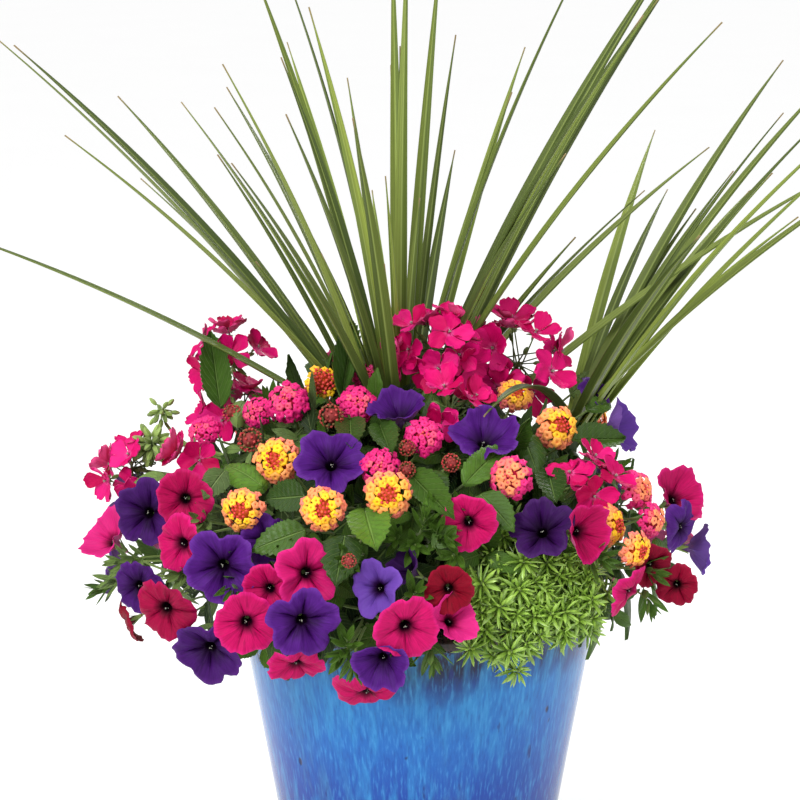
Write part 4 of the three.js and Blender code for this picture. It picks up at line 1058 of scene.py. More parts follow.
# %% Leaves
def leaf_template(name, across, along, width, widest, teeth, fold, sag, quilt, curl=0.0):
    bm = sheet_of(across, along)

    def rule(p):
        s = p.y
        rear = 0.9 * widest / (1 - widest)
        outline = (s / widest) ** rear * ((1 - s) / (1 - widest)) ** 0.9 if 0 < s < 1 else 0
        half = 0.5 * width * max(outline, 0.03)
        edge = abs(p.x)
        tooth = (s * teeth) % 1 if edge > 0.99 and 0.05 < s < 0.97 else 0.5
        x = p.x * half * (1 + 0.16 * (tooth - 0.5))
        y = s + 0.02 * (tooth - 0.5)
        z = fold * abs(x) - sag * s * s + curl * edge**3 * width * 0.3
        z += quilt * (0.5 - 0.5 * math.cos(2 * math.pi * 9 * (s - 0.3 * edge))) * math.sin(math.pi * edge)
        return Vector((x, y, z))

    reshape(bm, rule)
    thicken(bm, 0.012)
    return template(bm, name)


def lantana_leaf(name, fold, sag, curl, across=6, along=36, teeth=18, quilt=0.014):
    return leaf_template(name, across, along, 0.52, 0.38, teeth, fold, sag, quilt, curl)


FINE_LEAVES = [
    lantana_leaf("lantana_leaf_fine_1", 0.3, 0.12, -0.2),
    lantana_leaf("lantana_leaf_fine_2", 0.12, 0.28, -0.5),
    lantana_leaf("lantana_leaf_fine_3", 0.4, -0.06, 0.2),
]
SHOOT_LEAVES = [
    lantana_leaf("lantana_leaf_shoot_1", 0.3, 0.16, -0.3, 4, 20, 10, 0.0),
    lantana_leaf("lantana_leaf_shoot_2", 0.15, 0.3, -0.4, 4, 20, 10, 0.0),
    lantana_leaf("lantana_leaf_shoot_3", 0.4, -0.06, 0.2, 4, 20, 10, 0.0),
]
PLAIN_LEAVES = [
    lantana_leaf("lantana_leaf_plain_1", 0.25, 0.2, -0.2, 4, 8, 0, 0.0),
    lantana_leaf("lantana_leaf_plain_2", 0.15, 0.3, -0.3, 4, 8, 0, 0.0),
]
PETUNIA_LEAVES = [
    leaf_template("petunia_leaf_1", 4, 10, 0.42, 0.5, 0, 0.2, 0.2, 0.0),
    leaf_template("petunia_leaf_2", 4, 10, 0.3, 0.5, 0, 0.3, -0.15, 0.0),
]


def geranium_leaf():
    """A round, scalloped leaf on a disc whose slit faces the stalk."""
    bm = sheet_of(28, 6)
    petal = bm.verts.layers.float_vector["petal"]
    for v in bm.verts:
        turn = v.co.x * math.radians(168)
        out = v.co.y
        scallop = 1 + (0.1 * abs(math.sin(3.5 * turn)) + 0.03 * math.sin(21 * turn)) * out**2
        v[petal] = (math.sin(3.5 * turn) * out, out, turn)
        radius = 0.5 * out * scallop
        pleat = 0.04 * math.cos(7 * turn) * out
        dish = pleat + 0.12 * out - 0.1 * out**2
        v.co = Vector((math.sin(turn) * radius, 0.5 + math.cos(turn) * radius, dish))
    bmesh.ops.remove_doubles(bm, verts=bm.verts[:], dist=1e-5)
    bmesh.ops.recalc_face_normals(bm, faces=bm.faces[:])
    thicken(bm, 0.014)
    return template(bm, "geranium_leaf")


GERANIUM_LEAVES = [geranium_leaf()]


def leaf(bm, pattern, base, along, face_up, length, tint, broader=1.0):
    """A leaf of some length that leaves its base along a direction, its face towards face_up."""
    ahead = along.normalized()
    side = ahead.cross(face_up).normalized()
    top = side.cross(ahead)
    turn = Matrix((side, ahead, top)).transposed().to_4x4()
    size = Matrix.Diagonal((length * broader, length, length, 1))
    plant(bm, pattern, Matrix.Translation(base) @ turn @ size, tint)

# %% [markdown]
# ## Foliage
# Leafy shoots rise from the soil through the core and end behind the blooms. Lantana leaves sit in
# crossed pairs, petunia leaves one by one, geranium leaves on long stalks. Leaves further down a
# shoot get a lower tint, as painted shade. Behind the shoots a layer of plain leaves closes the bush,
# so that no light shows through it, and a low tint paints these leaves and their stalks dark, as
# painted shade. Each wedge of the core is one piece, and the large leaves that stand between the
# blooms of the front belong to the wedge that their stalk comes from.

# %% Foliage
LEAVES_OF = {
    "lantana": {
        "fine": SHOOT_LEAVES, "plain": PLAIN_LEAVES, "length": 56, "nodes": 4, "finish": LANTANA_LEAF},
    "petunia": {
        "fine": PETUNIA_LEAVES, "plain": PETUNIA_LEAVES, "length": 40, "nodes": 8, "finish": PETUNIA_LEAF},
    "geranium": {
        "fine": GERANIUM_LEAVES, "plain": GERANIUM_LEAVES, "length": 68, "nodes": 1, "finish": GERANIUM_LEAF},
}
# Wedges: node, kind, from, to, lowest steepness of the shoots, shoots, leaves in the shade.
WEDGES = [
    ("lantana_foliage_front", "lantana", -40, 10, -22, 11, 34),
    ("lantana_foliage_upper", "lantana", 10, 58, 16, 8, 26),
    ("lantana_foliage_right", "lantana", 58, 106, -20, 10, 34),
    ("petunia_foliage_back_right", "petunia", 106, 154, -26, 16, 44),
    ("geranium_foliage_back", "geranium", 154, 200, -10, 14, 22),
    ("petunia_foliage_back_left", "petunia", 200, 244, -26, 16, 44),
    ("lantana_foliage_left", "lantana", 244, 284, -20, 10, 30),
    ("petunia_foliage_front_left", "petunia", 284, 320, -26, 14, 40),
]


def layer_place(bearing, steepness, share):
    up = BLOOM_UP if steepness > 0 else BLOOM_DOWN
    return on_layer(bearing, steepness, BLOOM_ACROSS * share, up * share)


def leafy_shoot(bm, kind, bearing, steepness, share, random):
    """A shoot from the soil to its tip, with leaves along its outer part."""
    leaves = LEAVES_OF[kind]
    tip = layer_place(bearing, steepness, share)
    out = (tip - DOME_CENTRE).normalized()
    base = from_soil(tip, 60 + 60 * random())
    knee = Vector((tip.x * 0.62, tip.y * 0.62, max(tip.z + 10, POT_HEIGHT + 35)))
    stem(bm, base, knee, tip, 1.9, 1.0, 0.25 + 0.2 * random())
    nodes = leaves["nodes"]
    for i in range(nodes):
        s = 1 - (0.34 if kind == "lantana" else 0.42) * i / nodes
        spot = base * (1 - s) ** 2 + knee * 2 * s * (1 - s) + tip * s**2
        ahead = ((knee - base) * (1 - s) + (tip - knee) * s).normalized()
        side = ahead.cross(WORLD_UP)
        side = side.normalized() if side.length > 0.05 else RIGHT.copy()
        top = side.cross(ahead)
        turn = QUARTER_TURN * i + 0.5 * random() if kind == "lantana" else GOLDEN_TURN * i + random()
        for half in range(2 if kind == "lantana" else 1):
            angle = turn + math.pi * half
            way = side * math.cos(angle) + top * math.sin(angle)
            along = way * 0.9 + ahead * (0.75 - 0.12 * i) - WORLD_UP * 0.22 * random()
            face_up = ahead * 0.8 + out * 0.5 + WORLD_UP * 0.35
            size = leaves["length"] * (0.55 + 0.16 * min(i, 3)) * (0.8 + 0.35 * random())
            pattern = leaves["fine" if i < 2 else "plain"]
            # Leaves further down the shoot, deeper in the bush, get a lower tint: painted shade, with a
            # random tone on top.
            shade_of = 0.62 - 0.13 * min(i, 3) + 0.5 * (random() - 0.5)
            leaf(bm, pattern[int(random() * len(pattern))], spot + way * 3, along, face_up, size, shade_of)


def shade_leaf(bm, kind, bearing, steepness, random):
    """A plain leaf in the shade behind the shoots, painted dark with its stalk by a low tint: painted shade.
    """
    share = 0.5 + 0.22 * random()
    base = layer_place(bearing, steepness, share)
    out = (base - DOME_CENTRE).normalized()
    aside = WORLD_UP.cross(out).normalized()
    down = aside.cross(out).normalized()
    sway = 5.5 * (random() - 0.5)
    along = out * 0.35 + down * math.cos(sway) + aside * math.sin(sway)
    pattern = LEAVES_OF["lantana"]["plain"] if kind == "petunia" else LEAVES_OF[kind]["plain"]
    # The stalk's tint of 0.1 and the leaf's tint below 0.25 paint them dark, as painted shade.
    stem(bm, base - out * 34, base - out * 16, base, 1.4, 1.0, 0.1)
    chosen = pattern[int(random() * len(pattern))]
    leaf(bm, chosen, base, along, out, 62 * (0.85 + 0.35 * random()), 0.25 * random())


# Large leaves of the front: kind, base pixel and nearer, tip pixel and nearer, width, tint.
# The tint is partly the leaf's own tone and partly painted light and shade: low for leaves that sit
# in shade, high for lit ones.
FRONT_LEAVES = [
    ("lantana", (221, 409, 0), (211, 338, 10), 30, 0.45),
    ("lantana", (238, 417, 4), (250, 374, 10), 24, 0.8),
    ("lantana", (262, 486, 0), (214, 447, 14), 29, 1.0),
    ("lantana", (341, 402, 0), (352, 338, 12), 24, 0.45),
    ("lantana", (330, 387, -20), (309, 349, -10), 26, 0.5),
    ("lantana", (365, 510, 0), (377, 553, 26), 38, 1.0),
    ("lantana", (345, 535, 0), (336, 580, 12), 36, 0.2),
    ("lantana", (410, 474, 0), (454, 521, 14), 30, 0.5),
    ("lantana", (465, 484, 0), (509, 438, 10), 28, 0.75),
    ("lantana", (480, 494, -6), (512, 526, 8), 30, 0.5),
    ("lantana", (572, 440, 0), (620, 441, 6), 28, 0.45),
    ("lantana", (305, 496, -10), (266, 500, 0), 32, 0.25),
    ("lantana", (306, 530, 0), (252, 548, 14), 30, 0.5),
    ("lantana", (655, 545, 0), (682, 552, 4), 22, 0.5),
    ("lantana", (570, 395, -20), (600, 372, -10), 24, 0.7),
    ("lantana", (588, 410, -6), (612, 398, 4), 22, 0.7),
    ("lantana", (380, 425, -4), (392, 458, 6), 26, 0.35),
    ("lantana", (350, 420, -8), (352, 452, 0), 28, 0.3),
    ("lantana", (520, 430, -14), (536, 462, -4), 28, 0.3),
    ("lantana", (548, 470, -10), (556, 505, 0), 28, 0.2),
    ("lantana", (225, 470, -8), (205, 495, 0), 26, 0.3),
    ("lantana", (432, 470, -8), (436, 505, 4), 28, 0.3),
    ("petunia", (165, 475, 0), (140, 484, 6), 18, 0.8),
    ("petunia", (432, 548, -4), (454, 526, 10), 18, 0.7),
]
# Small leafy tips of the petunias in front: pixel, nearer, turn and lift of the way they point.
FRONT_TIPS = [
    (118, 562, 0, -40, 10), (98, 590, -8, -60, -10), (347, 640, 6, 5, 40), (352, 668, 6, -10, -50),
    (340, 655, 2, -30, -10), (416, 592, 8, 10, 30), (437, 532, 4, 0, 35), (432, 508, 2, 0, 50),
    (432, 662, 4, 10, -60), (650, 604, 4, 20, -40), (232, 590, 2, -20, -20), (200, 520, -24, -20, 20),
    (345, 560, 4, -10, 0), (604, 560, 4, 40, 0), (560, 545, -10, 10, 30), (284, 552, -6, 0, 20),
    (425, 518, 8, 20, 60), (447, 538, 8, 30, 20), (464, 512, 2, 10, 40), (110, 582, 2, -50, 0),
    (133, 560, 0, -30, 0), (452, 556, 6, -20, 10), (392, 640, 0, 10, -30), (240, 555, -4, -10, 0),
    (180, 575, -4, -30, 0), (655, 575, 0, 50, -10), (415, 545, -2, 0, 10), (395, 538, -4, -10, 20),
    (268, 400, -14, -20, 50), (620, 470, -14, 40, 20),
]


def front_leaf(bm, kind, base_pixel, tip_pixel, width, tint):
    base, tip = on_dome(*base_pixel), on_dome(*tip_pixel)
    along = tip - base
    pattern = FINE_LEAVES if kind == "lantana" else PETUNIA_LEAVES
    face_up = -AHEAD + WORLD_UP * 0.5
    length = along.length * 1.04
    natural = 0.52 if kind == "lantana" else 0.36
    broader = width / (natural * length)
    leaf(bm, pattern[base_pixel[0] % len(pattern)], base, along, face_up, length, tint, broader)
    root = root_of(base, 8)
    stem(bm, root, (root + base) / 2 + WORLD_UP * 4, base + along * 0.05, 1.5, 1.1, 0.4)


def front_tip(bm, px, py, nearer, turn, lift, random):
    """The leafy end of a petunia shoot: narrow leaves round a stem."""
    tip = on_dome(px, py, nearer)
    ahead = facing(turn, lift)
    root = root_of(tip, 0)
    stem(bm, root, tip - ahead * 30, tip, 1.4, 0.9, 0.6)
    side = ahead.orthogonal().normalized()
    top = ahead.cross(side)
    for i in range(9):
        angle = GOLDEN_TURN * i
        way = side * math.cos(angle) + top * math.sin(angle)
        spread = 0.5 + 0.1 * i
        length = (15 + 1.6 * i) * (0.85 + 0.3 * random())
        spot, face_up = tip - ahead * 2.2 * i, ahead - way * 0.4
        leaf(bm, PETUNIA_LEAVES[1], spot, ahead + way * spread, face_up, length, 0.6 + 0.4 * random())


def in_wedge(place, start, end):
    bearing = layer_angles(place)[0] % 360
    return start <= bearing < end or start <= bearing - 360 < end


for index, (node, kind, start, end, lowest, shoots, shaded) in enumerate(WEDGES):
    random = seeded(600 + 91 * index)
    bm = blank()
    for i in range(shoots):
        bearing = start + (end - start) * (0.06 + 0.88 * ((GOLDEN_SHARE * i + 0.2 * random()) % 1))
        steepness = lowest + (76 - lowest) * (i + random()) / shoots
        leafy_shoot(bm, kind, bearing, steepness, 0.74 + 0.16 * random(), random)
    for i in range(shaded):
        bearing = start + (end - start) * ((GOLDEN_SHARE * i + 0.3 * random()) % 1)
        steepness = max(lowest, -8) + (80 - max(lowest, -8)) * (i + random()) / shaded
        shade_leaf(bm, kind, bearing, steepness, random)
    for row in FRONT_LEAVES:
        if in_wedge(on_dome(*row[1]), start, end):
            front_leaf(bm, *row)
    for row in FRONT_TIPS:
        if in_wedge(on_dome(*row[:3]), start, end):
            front_tip(bm, *row, random)
    finish_piece(bm, node + "_leaves", [node], kind + "_leaf", [LEAVES_OF[kind]["finish"], STEM_GREEN])

# %% [markdown]
# ## Sedum
# Needle-leaved sedum hangs over the rim as a mat. Seven short shoots grow round each place in the
# list, and each of them ends in a star of fleshy needles. One needle is a turned, five-sided drop. It is
# copied in a spiral round each shoot's end, short and upright in the middle and longer below.

# %% Sedum
def sedum_finish():
    material, tree, shader = start_finish(
        "sedum_needle", roughness=0.35, specular_ior_level=0.5, coat_weight=0.1)
    along = on_petal(tree)[2]
    spots = place_of(tree)
    colour = mixed(read(tree, "tint"), (0.06, 0.15, 0.014), (0.31, 0.5, 0.065))
    # Each needle is painted darker at its base, as painted shade in the gaps of the mat, and paler towards
    # its tip, partly its own paler tip and partly a painted highlight.
    colour = shade(colour, step_ramp(along, 0.0, 0.35) * 0.55 + 0.5)
    colour = mixed(step_ramp(along, 0.4, 1.0) * 0.45, colour, (0.42, 0.6, 0.13))
    colour = shade(colour, speckle(spots, 150.0) * 0.7 + 0.65)
    dress(shader, colour, speckle(spots, 900.0, 2.0), 0.0003, 0.3)
    return material


SEDUM_NEEDLE = sedum_finish()
drop = spun([(0, 0), (0.5, 0.08), (0.62, 0.4), (0.5, 0.75), (0, 1)], 5)
needle_mark = drop.verts.layers.float_vector["petal"]
for v in drop.verts:
    v[needle_mark] = v.co
    v.co = Vector((v.co.x * 0.18, v.co.y * 0.12 - 0.16 * v.co.z**2, v.co.z))
NEEDLE = template(drop, "sedum_needle")

SEDUM_SHOOTS = [
    (483, 583), (524, 562), (566, 560), (590, 574), (503, 536), (545, 590), (566, 612), (485, 630),
    (534, 616), (592, 600), (512, 652), (501, 606), (552, 614), (578, 620), (520, 590), (548, 562),
]


def sedum_star(bm, tip, face, count, longest, random):
    """The star of needles at the end of a shoot."""
    at = frame_at(tip, face, WHOLE_TURN * random())
    for i, direction in enumerate(cap_directions(count, 118)):
        share = i / count
        length = longest * (0.62 + 0.38 * share) * (0.85 + 0.3 * random())
        own = at @ frame_at(direction * 1.5 - WORLD_UP * 9 * share, direction, 0, length)
        # Low needles of the star get a lower tint than the upright ones in the middle: partly their own tone,
        # partly painted shade.
        plant(bm, NEEDLE, own, 0.85 - 0.6 * share + 0.3 * (random() - 0.5))


bm = blank()
random = seeded(41)
for px, py in SEDUM_SHOOTS:
    for k in range(7):
        away = 14 + 12 * random() if k else 0
        turn = WHOLE_TURN * random()
        nearer = -34 + 16 * random() - (10 if k else 0)
        tip = on_dome(px + away * math.cos(turn), py + away * math.sin(turn), nearer)
        root = root_of(tip, 12)
        face = (tip - root).normalized() + WORLD_UP * (0.5 * random())
        face = (face - AHEAD * (0.3 + 0.6 * random()) + RIGHT * (random() - 0.5)).normalized()
        stem(bm, root, tip - face * 24, tip, 1.5, 1.2, 0.7)
        needles, longest = (21, 17.5) if k else (26, 20)
        sedum_star(bm, tip, face, needles, longest, random)
        for j in range(6):
            spot = tip - face * (8 + 4 * j)
            way = Quaternion(face, GOLDEN_TURN * j) @ face.orthogonal()
            # The needles down the stem get a low tint: partly their own tone, partly painted shade.
            plant(bm, NEEDLE, frame_at(spot, (way + face * 0.5).normalized(), 0, 12), 0.3 + 0.3 * random())
finish_piece(bm, "sedum_mat", ["sedum_clump"], "sedum_leaf", [SEDUM_NEEDLE, STEM_GREEN])

# %% [markdown]
# ## Spike plants
# The tall grassy leaves are long, nearly straight blades, folded a little along the middle and
# finely striped. A narrow sheet is bent along each leaf's line from the crown to its tip, with the
# arch and twist of the solids. Thinner blades between them fill the fan, and one leaf bows far over.

# %% Spike plants
def spike_finish():
    material, tree, shader = start_finish("spike_leaf", roughness=0.4, specular_ior_level=0.2)
    across, along, _ = on_petal(tree)
    tint = read(tree, "tint")
    lines = speckle(joined(across * 9.0, along * 2.0, tint * 40.0), 1.0, 4.0)
    colour = shade(mixed(tint, (0.07, 0.1, 0.022), (0.23, 0.29, 0.05)), lines * 1.5 + 0.25)
    middle = step_ramp(across.sum("ABSOLUTE"), 0.22, 0.06)
    colour = mixed(middle * 0.5, colour, (0.33, 0.4, 0.11))
    # One half of each blade, across its fold, is painted darker: painted shade of the fold along the middle.
    darker = mixed(1.0, colour, (0.42, 0.5, 0.4), "MULTIPLY")
    colour = mixed(step_ramp(across, 0.02, -0.1) * 0.6, colour, darker)
    colour = mixed(step_ramp(along, 0.35, 0.05) * tint, colour, (0.26, 0.34, 0.06))
    colour = mixed(step_ramp(along, 0.95, 1.0) * 0.8, colour, (0.3, 0.2, 0.1))
    dress(shader, colour, lines, 0.0006, 0.6)
    return material


SPIKE_LEAF = spike_finish()
spike = sheet_of(4, 26)
thicken(spike, 0.012)
SPIKE_BLADE = template(spike, "spike_blade")
SPIKE_WIDTH, SPIKE_BASE, SPIKE_TIP, SPIKE_ARCH = 12.5, 9, 1.2, 0.035
BOWED_TIP, BOWED_ARCH = (484, 416), 0.15
TRUNK_RADIUS, TRUNK_DEPTH = 15, 55

CROWNS = {
    "spike_plant_centre": {
        "foot": Vector((-12, 4, 0)), "head": Vector((-17, 4, POT_HEIGHT + 128)), "more": 20,
        "tips": [
            (-75, 222, 40), (65, 135, -150), (14, 45, 70), (-8, 34, -40), (118, 96, 190), (223, 64, -240),
            (227, 87, 260), (232, 163, -300), (250, -40, 110), (280, -45, -90), (287, 42, 250),
            (309, 7, -200), (353, 118, -330), (392, -75, 60), (391, 65, 300), (408, -85, -70),
            (442, -62, 120), (525, 47, 290), (600, -75, -60), (680, -62, 60), (643, 15, -190),
            (690, -74, 170), (700, -66, -20), (712, -80, 90), (722, 22, -90), (709, 147, 240),
            (400, 46, 40), (455, 150, 150), (372, 190, 370), (850, 165, 150),
        ],
    },
    "spike_plant_right": {
        "foot": Vector((88, 34, 0)), "head": Vector((146, 52, POT_HEIGHT + 146)), "more": 8,
        "tips": [
            (783, 60, 250), (835, 72, 60), (842, 98, 190), (852, 118, -70), (750, 190, 330),
            (862, 140, 110), (876, 172, 0), (700, 235, -240), (655, 130, 380), (484, 416, -170),
        ],
    },
}


def trunk_middle(crown, z):
    """The middle of a leaning trunk at a height."""
    bottom = Vector((crown["foot"].x, crown["foot"].y, SOIL_TOP - TRUNK_DEPTH))
    return bottom.lerp(crown["head"], (z - bottom.z) / (crown["head"].z - bottom.z))


def spike_blade(bm, crown, tip, index, width, tint, bow=SPIKE_ARCH):
    """One long leaf: it leaves the trunk steeply and arches over to its tip."""
    head = crown["head"]
    out = Vector((tip.x - head.x, tip.y - head.y, 0)).normalized()
    base = trunk_middle(crown, head.z - 5 - 8 * (index % 6)) + out * 4
    reach = tip - base
    arch = bow * reach.length
    side = Vector((-out.y, out.x, 0))
    top = side.cross(reach).normalized()
    if top.z < 0:
        top.negate()
    twist = 0.5 * math.sin(index * GOLDEN_TURN)
    at_base = SPIKE_BASE / SPIKE_WIDTH

    def rule(p):
        s = p.y
        taper = width if s < 0.4 else width * (1 - ((s - 0.4) / 0.6) ** 1.5)
        wide = max(taper, SPIKE_TIP) * (at_base + (1 - at_base) * min(s / 0.12, 1))
        face = Quaternion(reach.normalized(), twist * s) @ side
        normal = reach.cross(face).normalized()
        if normal.dot(top) < 0:
            normal.negate()
        centre = base + reach * s + top * (4 * arch * s * (1 - s))
        fold = abs(p.x) * wide * 0.3 * (1 - 0.5 * s)
        return centre + face * (0.5 * wide * p.x) + normal * (fold + p.z * 90)

    plant(bm, SPIKE_BLADE, rule, tint)


for node, crown in CROWNS.items():
    random = seeded(len(node) * 13)
    bm = blank()
    tips = crown["tips"]
    for index, (px, py, depth) in enumerate(tips):
        tip = at_depth(px, py, depth)
        if (px, py) == BOWED_TIP:
            spike_blade(bm, crown, tip, 0, SPIKE_WIDTH * 1.15, random() * 0.1, BOWED_ARCH)
        else:
            spike_blade(bm, crown, tip, index, SPIKE_WIDTH, random())
    for i in range(crown["more"]):
        first, second = tips[int(random() * len(tips))], tips[int(random() * len(tips))]
        share = 0.25 + 0.5 * random()
        px, py, depth = (a + (b - a) * share for a, b in zip(first, second))
        shorter = 0.45 + 0.5 * random()
        tip = crown["head"].lerp(at_depth(px, py, depth), shorter)
        if (tip - crown["head"]).length > 120 and tip.z > crown["head"].z - 20:
            spike_blade(bm, crown, tip, i, SPIKE_WIDTH * (0.55 + 0.4 * random()), random())
    bottom, top = trunk_middle(crown, SOIL_TOP - TRUNK_DEPTH), crown["head"]
    stem(bm, bottom, (bottom + top) / 2, top, TRUNK_RADIUS, TRUNK_RADIUS * 0.75, 0.1)
    finish_piece(bm, node + "_blades", [node], "spike_leaf", [SPIKE_LEAF, STEM_GREEN])

# %% [markdown]
# ## Soil
# Potting mix is a dark crumb of peat and bark with white grains of perlite. The mound is a turned
# disc with a displaced surface; loose crumbs on top of it are small stones of the same mix.

# %% Soil
def soil_finish():
    material, tree, shader = start_finish("potting_mix", roughness=0.95, specular_ior_level=0.15)
    spots = place_of(tree)
    crumb = speckle(spots, 220.0, 6.0)
    grains = wire(tree, "TexVoronoi", "Color", {"Vector": spots, "Scale": 190.0})
    pale = step_ramp(wire(tree, "SeparateColor", "Red", {"Color": grains}), 0.94, 0.97)
    colour = ramp(crumb, [
        (0.3, (0.008, 0.005, 0.003)), (0.55, (0.03, 0.018, 0.01)), (0.75, (0.09, 0.055, 0.03))])
    colour = mixed(pale, colour, (0.5, 0.48, 0.42))
    colour = mixed(step_ramp(read(tree, "tint"), 0.9, 0.95), colour, (0.6, 0.58, 0.52))
    dress(shader, colour, crumb, 0.003, 0.9)
    return material


POTTING_MIX = soil_finish()
GAP, FLOOR_THICKNESS, WALL = 0.35, 16, 12
SHOULDER_RADIUS, BASE_RADIUS, SOIL_MOUND = 168, 108, 9


def inside_radius(z):
    share = (z - FLOOR_THICKNESS) / (POT_HEIGHT - 4 - FLOOR_THICKNESS)
    return BASE_RADIUS - WALL + share * (SHOULDER_RADIUS - BASE_RADIUS)


edge = inside_radius(SOIL_TOP) - 2 * GAP
floor_z = FLOOR_THICKNESS + GAP
rings = [(edge * i / 22, SOIL_TOP + SOIL_MOUND * (1 - i / 22)) for i in range(22, -1, -1)]
mound = spun([(0, floor_z), (inside_radius(floor_z) - 2 * GAP, floor_z)] + rings, 96)


def crumble(p):
    if p.z < SOIL_TOP - 1 or math.hypot(p.x, p.y) > edge - 1:
        return p
    lumps = noise.noise(p * 0.09) * 2.2 + noise.noise(p * 0.3) * 1.1
    return p + WORLD_UP * (lumps - 1)


reshape(mound, crumble)
bm = blank()
plant(bm, template(mound, "soil_mound"), Matrix.Identity(4), 0.4)
grain = blank()
bmesh.ops.create_icosphere(grain, subdivisions=1, radius=1)
reshape(grain, lambda p: p * (1 + 0.35 * noise.noise(p * 2.1)))
GRAIN = template(grain, "soil_grain")
random = seeded(9)
for i in range(420):
    turn, out = 6.283 * random(), (edge - 5) * math.sqrt(random())
    place = Vector((math.cos(turn) * out, math.sin(turn) * out, SOIL_TOP + SOIL_MOUND * (1 - out / edge)))
    face = Vector((random() - 0.5, random() - 0.5, 0.6)).normalized()
    own = frame_at(place, face, WHOLE_TURN * random())
    own = own @ Matrix.Diagonal((1 + 3 * random(), 1 + 2 * random(), 1 + random(), 1))
    plant(bm, GRAIN, own, 1.0 if random() > 0.88 else 0.3)
finish_piece(bm, "potting_soil", ["soil"], "potting_mix", [POTTING_MIX])

# %% [markdown]
# ## The glazed pot
# The pot is thrown, so it is spun from one profile: a flat foot, a straight tapering wall and a
# rolled rim. The glaze is the hard part. It ran while it melted, so it has pale streaks down the
# wall, violet patches low down, dark smudges and pits, a nearly black rim where it is thin, and
# bare clay at the foot. The wall just under the rim is painted dark, as painted shadow and
# reflection of the rim and the plants. All of this is mixed from noise stretched downwards, in the
# pot's own coordinates.

# %% Pot
RIM_RADIUS, RIM_BAND = 178, 17
FOOT_BEVEL = 4
INSIDE_STEPS = 12


def arc(centre, radius, start, end, count):
    """Points of a rounded edge, for the profile of the pot."""
    turns = [math.radians(start + (end - start) * i / (count - 1)) for i in range(count)]
    return [(centre[0] + radius * math.cos(t), centre[1] + radius * math.sin(t)) for t in turns]


def wall_radius(z):
    return BASE_RADIUS + (SHOULDER_RADIUS - BASE_RADIUS) * (z - 4) / (POT_HEIGHT - RIM_BAND - 3 - 4)


pot_profile = [(0, 0), (60, 0), (104, 0)]
pot_profile += arc((BASE_RADIUS - FOOT_BEVEL, FOOT_BEVEL), FOOT_BEVEL, -90, -10, 6)
pot_profile += [(wall_radius(z), z) for z in range(14, 336, 12)]
pot_profile += [(SHOULDER_RADIUS - 0.4, 338), (SHOULDER_RADIUS + 1.5, 341)]
pot_profile += arc((RIM_RADIUS - 8.2, POT_HEIGHT - 8.4), 8.2, -80, 90, 14)
pot_profile += [(162, 360), (157, 359.6)]
pot_profile += arc((SHOULDER_RADIUS - WALL + 4, POT_HEIGHT - 5), 4, 100, 180, 5)
for i in range(INSIDE_STEPS - 1, 0, -1):
    inside = BASE_RADIUS - WALL + (SHOULDER_RADIUS - BASE_RADIUS) * i / INSIDE_STEPS
    pot_profile.append((inside, FLOOR_THICKNESS + 339 * i / INSIDE_STEPS))
pot_profile += [(BASE_RADIUS - WALL, FLOOR_THICKNESS), (60, FLOOR_THICKNESS), (0, FLOOR_THICKNESS)]
bm = blank()
plant(bm, template(spun(pot_profile, 96), "pot_body"), Matrix.Identity(4))


def glaze_finish():
    material, tree, shader = start_finish("blue_glaze", specular_ior_level=0.32)
    spots = place_of(tree)
    height = parts(spots)[2]

    def stretched(across, down, detail=4.0):
        return speckle(scaled(spots, (across, across, down)), 1.0, detail)

    runs, drips, clouds = stretched(120.0, 2.2), stretched(420.0, 4.5), stretched(20.0, 6.0)
    # Above 0.292 the ramp darkens the wall to nearly black just under the rim: painted shadow and reflection
    # of the rim and the plants, its edge wandering with the clouds.
    colour = ramp(height + (clouds - 0.5) * 0.07, [
        (0.0, (0.003, 0.008, 0.07)), (0.12, (0.004, 0.02, 0.17)), (0.19, (0.005, 0.05, 0.31)),
        (0.25, (0.009, 0.12, 0.43)), (0.292, (0.013, 0.16, 0.46)), (0.312, (0.005, 0.05, 0.21)),
        (0.327, (0.002, 0.006, 0.03))])
    colour = mixed(step_ramp(runs, 0.45, 0.68) * 0.45, colour, (0.03, 0.27, 0.56))
    colour = mixed(step_ramp(drips, 0.5, 0.72) * 0.36, colour, (0.06, 0.34, 0.66))
    colour = mixed(step_ramp(drips, 0.48, 0.3) * 0.4, colour, (0.003, 0.04, 0.24))
    patch = step_ramp(clouds, 0.5, 0.66) * (step_ramp(height, 0.3, 0.12) * 0.6)
    colour = mixed(patch * step_ramp(runs, 0.35, 0.6), colour, (0.03, 0.014, 0.13))
    smudges = stretched(85.0, 22.0, 3.0)
    colour = mixed(step_ramp(smudges, 0.67, 0.74) * 0.75, colour, (0.006, 0.012, 0.13))
    cells = {"Vector": scaled(spots, (1.0, 1.0, 0.5)), "Scale": 60.0}
    pit = step_ramp(wire(tree, "TexVoronoi", "Distance", cells), 0.17, 0.08)
    pit = pit * step_ramp(speckle(spots, 35.0, 2.0), 0.55, 0.6)
    colour = mixed(pit * 0.9, colour, (0.004, 0.008, 0.05))
    edge = height + (runs - 0.5) * 0.006
    rim_colour = ramp(drips, [(0.35, (0.006, 0.005, 0.006)), (0.7, (0.05, 0.025, 0.02))])
    colour = mixed(step_ramp(edge, 0.3405, 0.3435), colour, rim_colour)
    clay = step_ramp(edge, 0.007, 0.005)
    clay_colour = mixed(speckle(spots, 300.0, 4.0), (0.25, 0.12, 0.06), (0.45, 0.25, 0.14))
    feed(tree, shader.inputs["Roughness"], clay * 0.6 + (drips * 0.1 + 0.1))
    dress(shader, mixed(clay, colour, clay_colour), runs * 0.6 + pit * -0.8, 0.001, 0.35)
    return material


finish_piece(bm, "glazed_pot", ["pot"], "blue_glaze", [glaze_finish()])

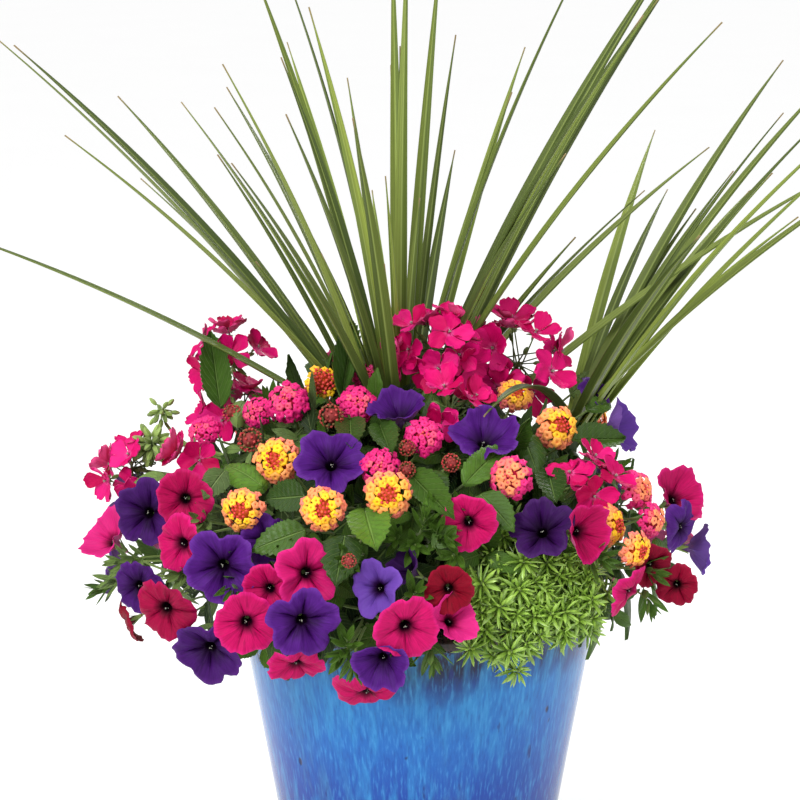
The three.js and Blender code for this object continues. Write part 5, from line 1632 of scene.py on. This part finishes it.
# %% [markdown]
# ## The studio
# A plain pale floor runs far behind the planter, under a bright even sky, so the background is
# nearly white. Two large soft lamps from the left and right front model the petals, a smaller one
# from behind lights the edges of the leaves, and a very wide sun overhead keeps the floor bright.

# %% Floor, light and colour
FLOOR_HALF = 40
LAMP_AIM = Vector((0, 0, 0.45))
studio = bmesh.new()
bmesh.ops.create_grid(studio, x_segments=1, y_segments=1, size=FLOOR_HALF)
floor_mesh = bpy.data.meshes.new("floor")
studio.to_mesh(floor_mesh)
studio.free()
floor = bpy.data.objects.new("floor", floor_mesh)
bpy.context.scene.collection.objects.link(floor)
floor_finish, floor_tree, floor_shader = start_finish("pale_floor", roughness=0.9, specular_ior_level=0.1)
dress(floor_shader, mixed(speckle(place_of(floor_tree), 3.0), (0.94, 0.94, 0.94), (0.955, 0.955, 0.955)))
floor_mesh.materials.append(floor_finish)

world = bpy.data.worlds.new("studio")
bpy.context.scene.world = world
world.use_nodes = True
background = world.node_tree.nodes["Background"]
background.inputs["Color"].default_value = (1.0, 1.0, 1.0, 1)
background.inputs["Strength"].default_value = 0.42


def soft_lamp(name, place, size, power):
    lamp = bpy.data.objects.new(name, bpy.data.lights.new(name, "AREA"))
    lamp.data.shape = "DISK"
    lamp.data.size = size
    lamp.data.energy = power
    lamp.location = place
    lamp.rotation_mode = "QUATERNION"
    lamp.rotation_quaternion = (LAMP_AIM - Vector(place)).to_track_quat("-Z", "Y")
    bpy.context.scene.collection.objects.link(lamp)


soft_lamp("key_lamp", (-1.5, -2.3, 1.9), 1.2, 58)
soft_lamp("fill_lamp", (2.2, -1.8, 1.2), 1.4, 16)
soft_lamp("rim_lamp", (0.8, 2.4, 2.2), 1.0, 25)
sky = bpy.data.objects.new("high_sky", bpy.data.lights.new("high_sky", "SUN"))
sky.data.energy = 2.05
sky.data.angle = math.radians(60)
sky.rotation_euler = (math.radians(12), math.radians(-8), 0)
bpy.context.scene.collection.objects.link(sky)
bpy.context.scene.view_settings.view_transform = "Standard"
bpy.context.scene.view_settings.look = "None"
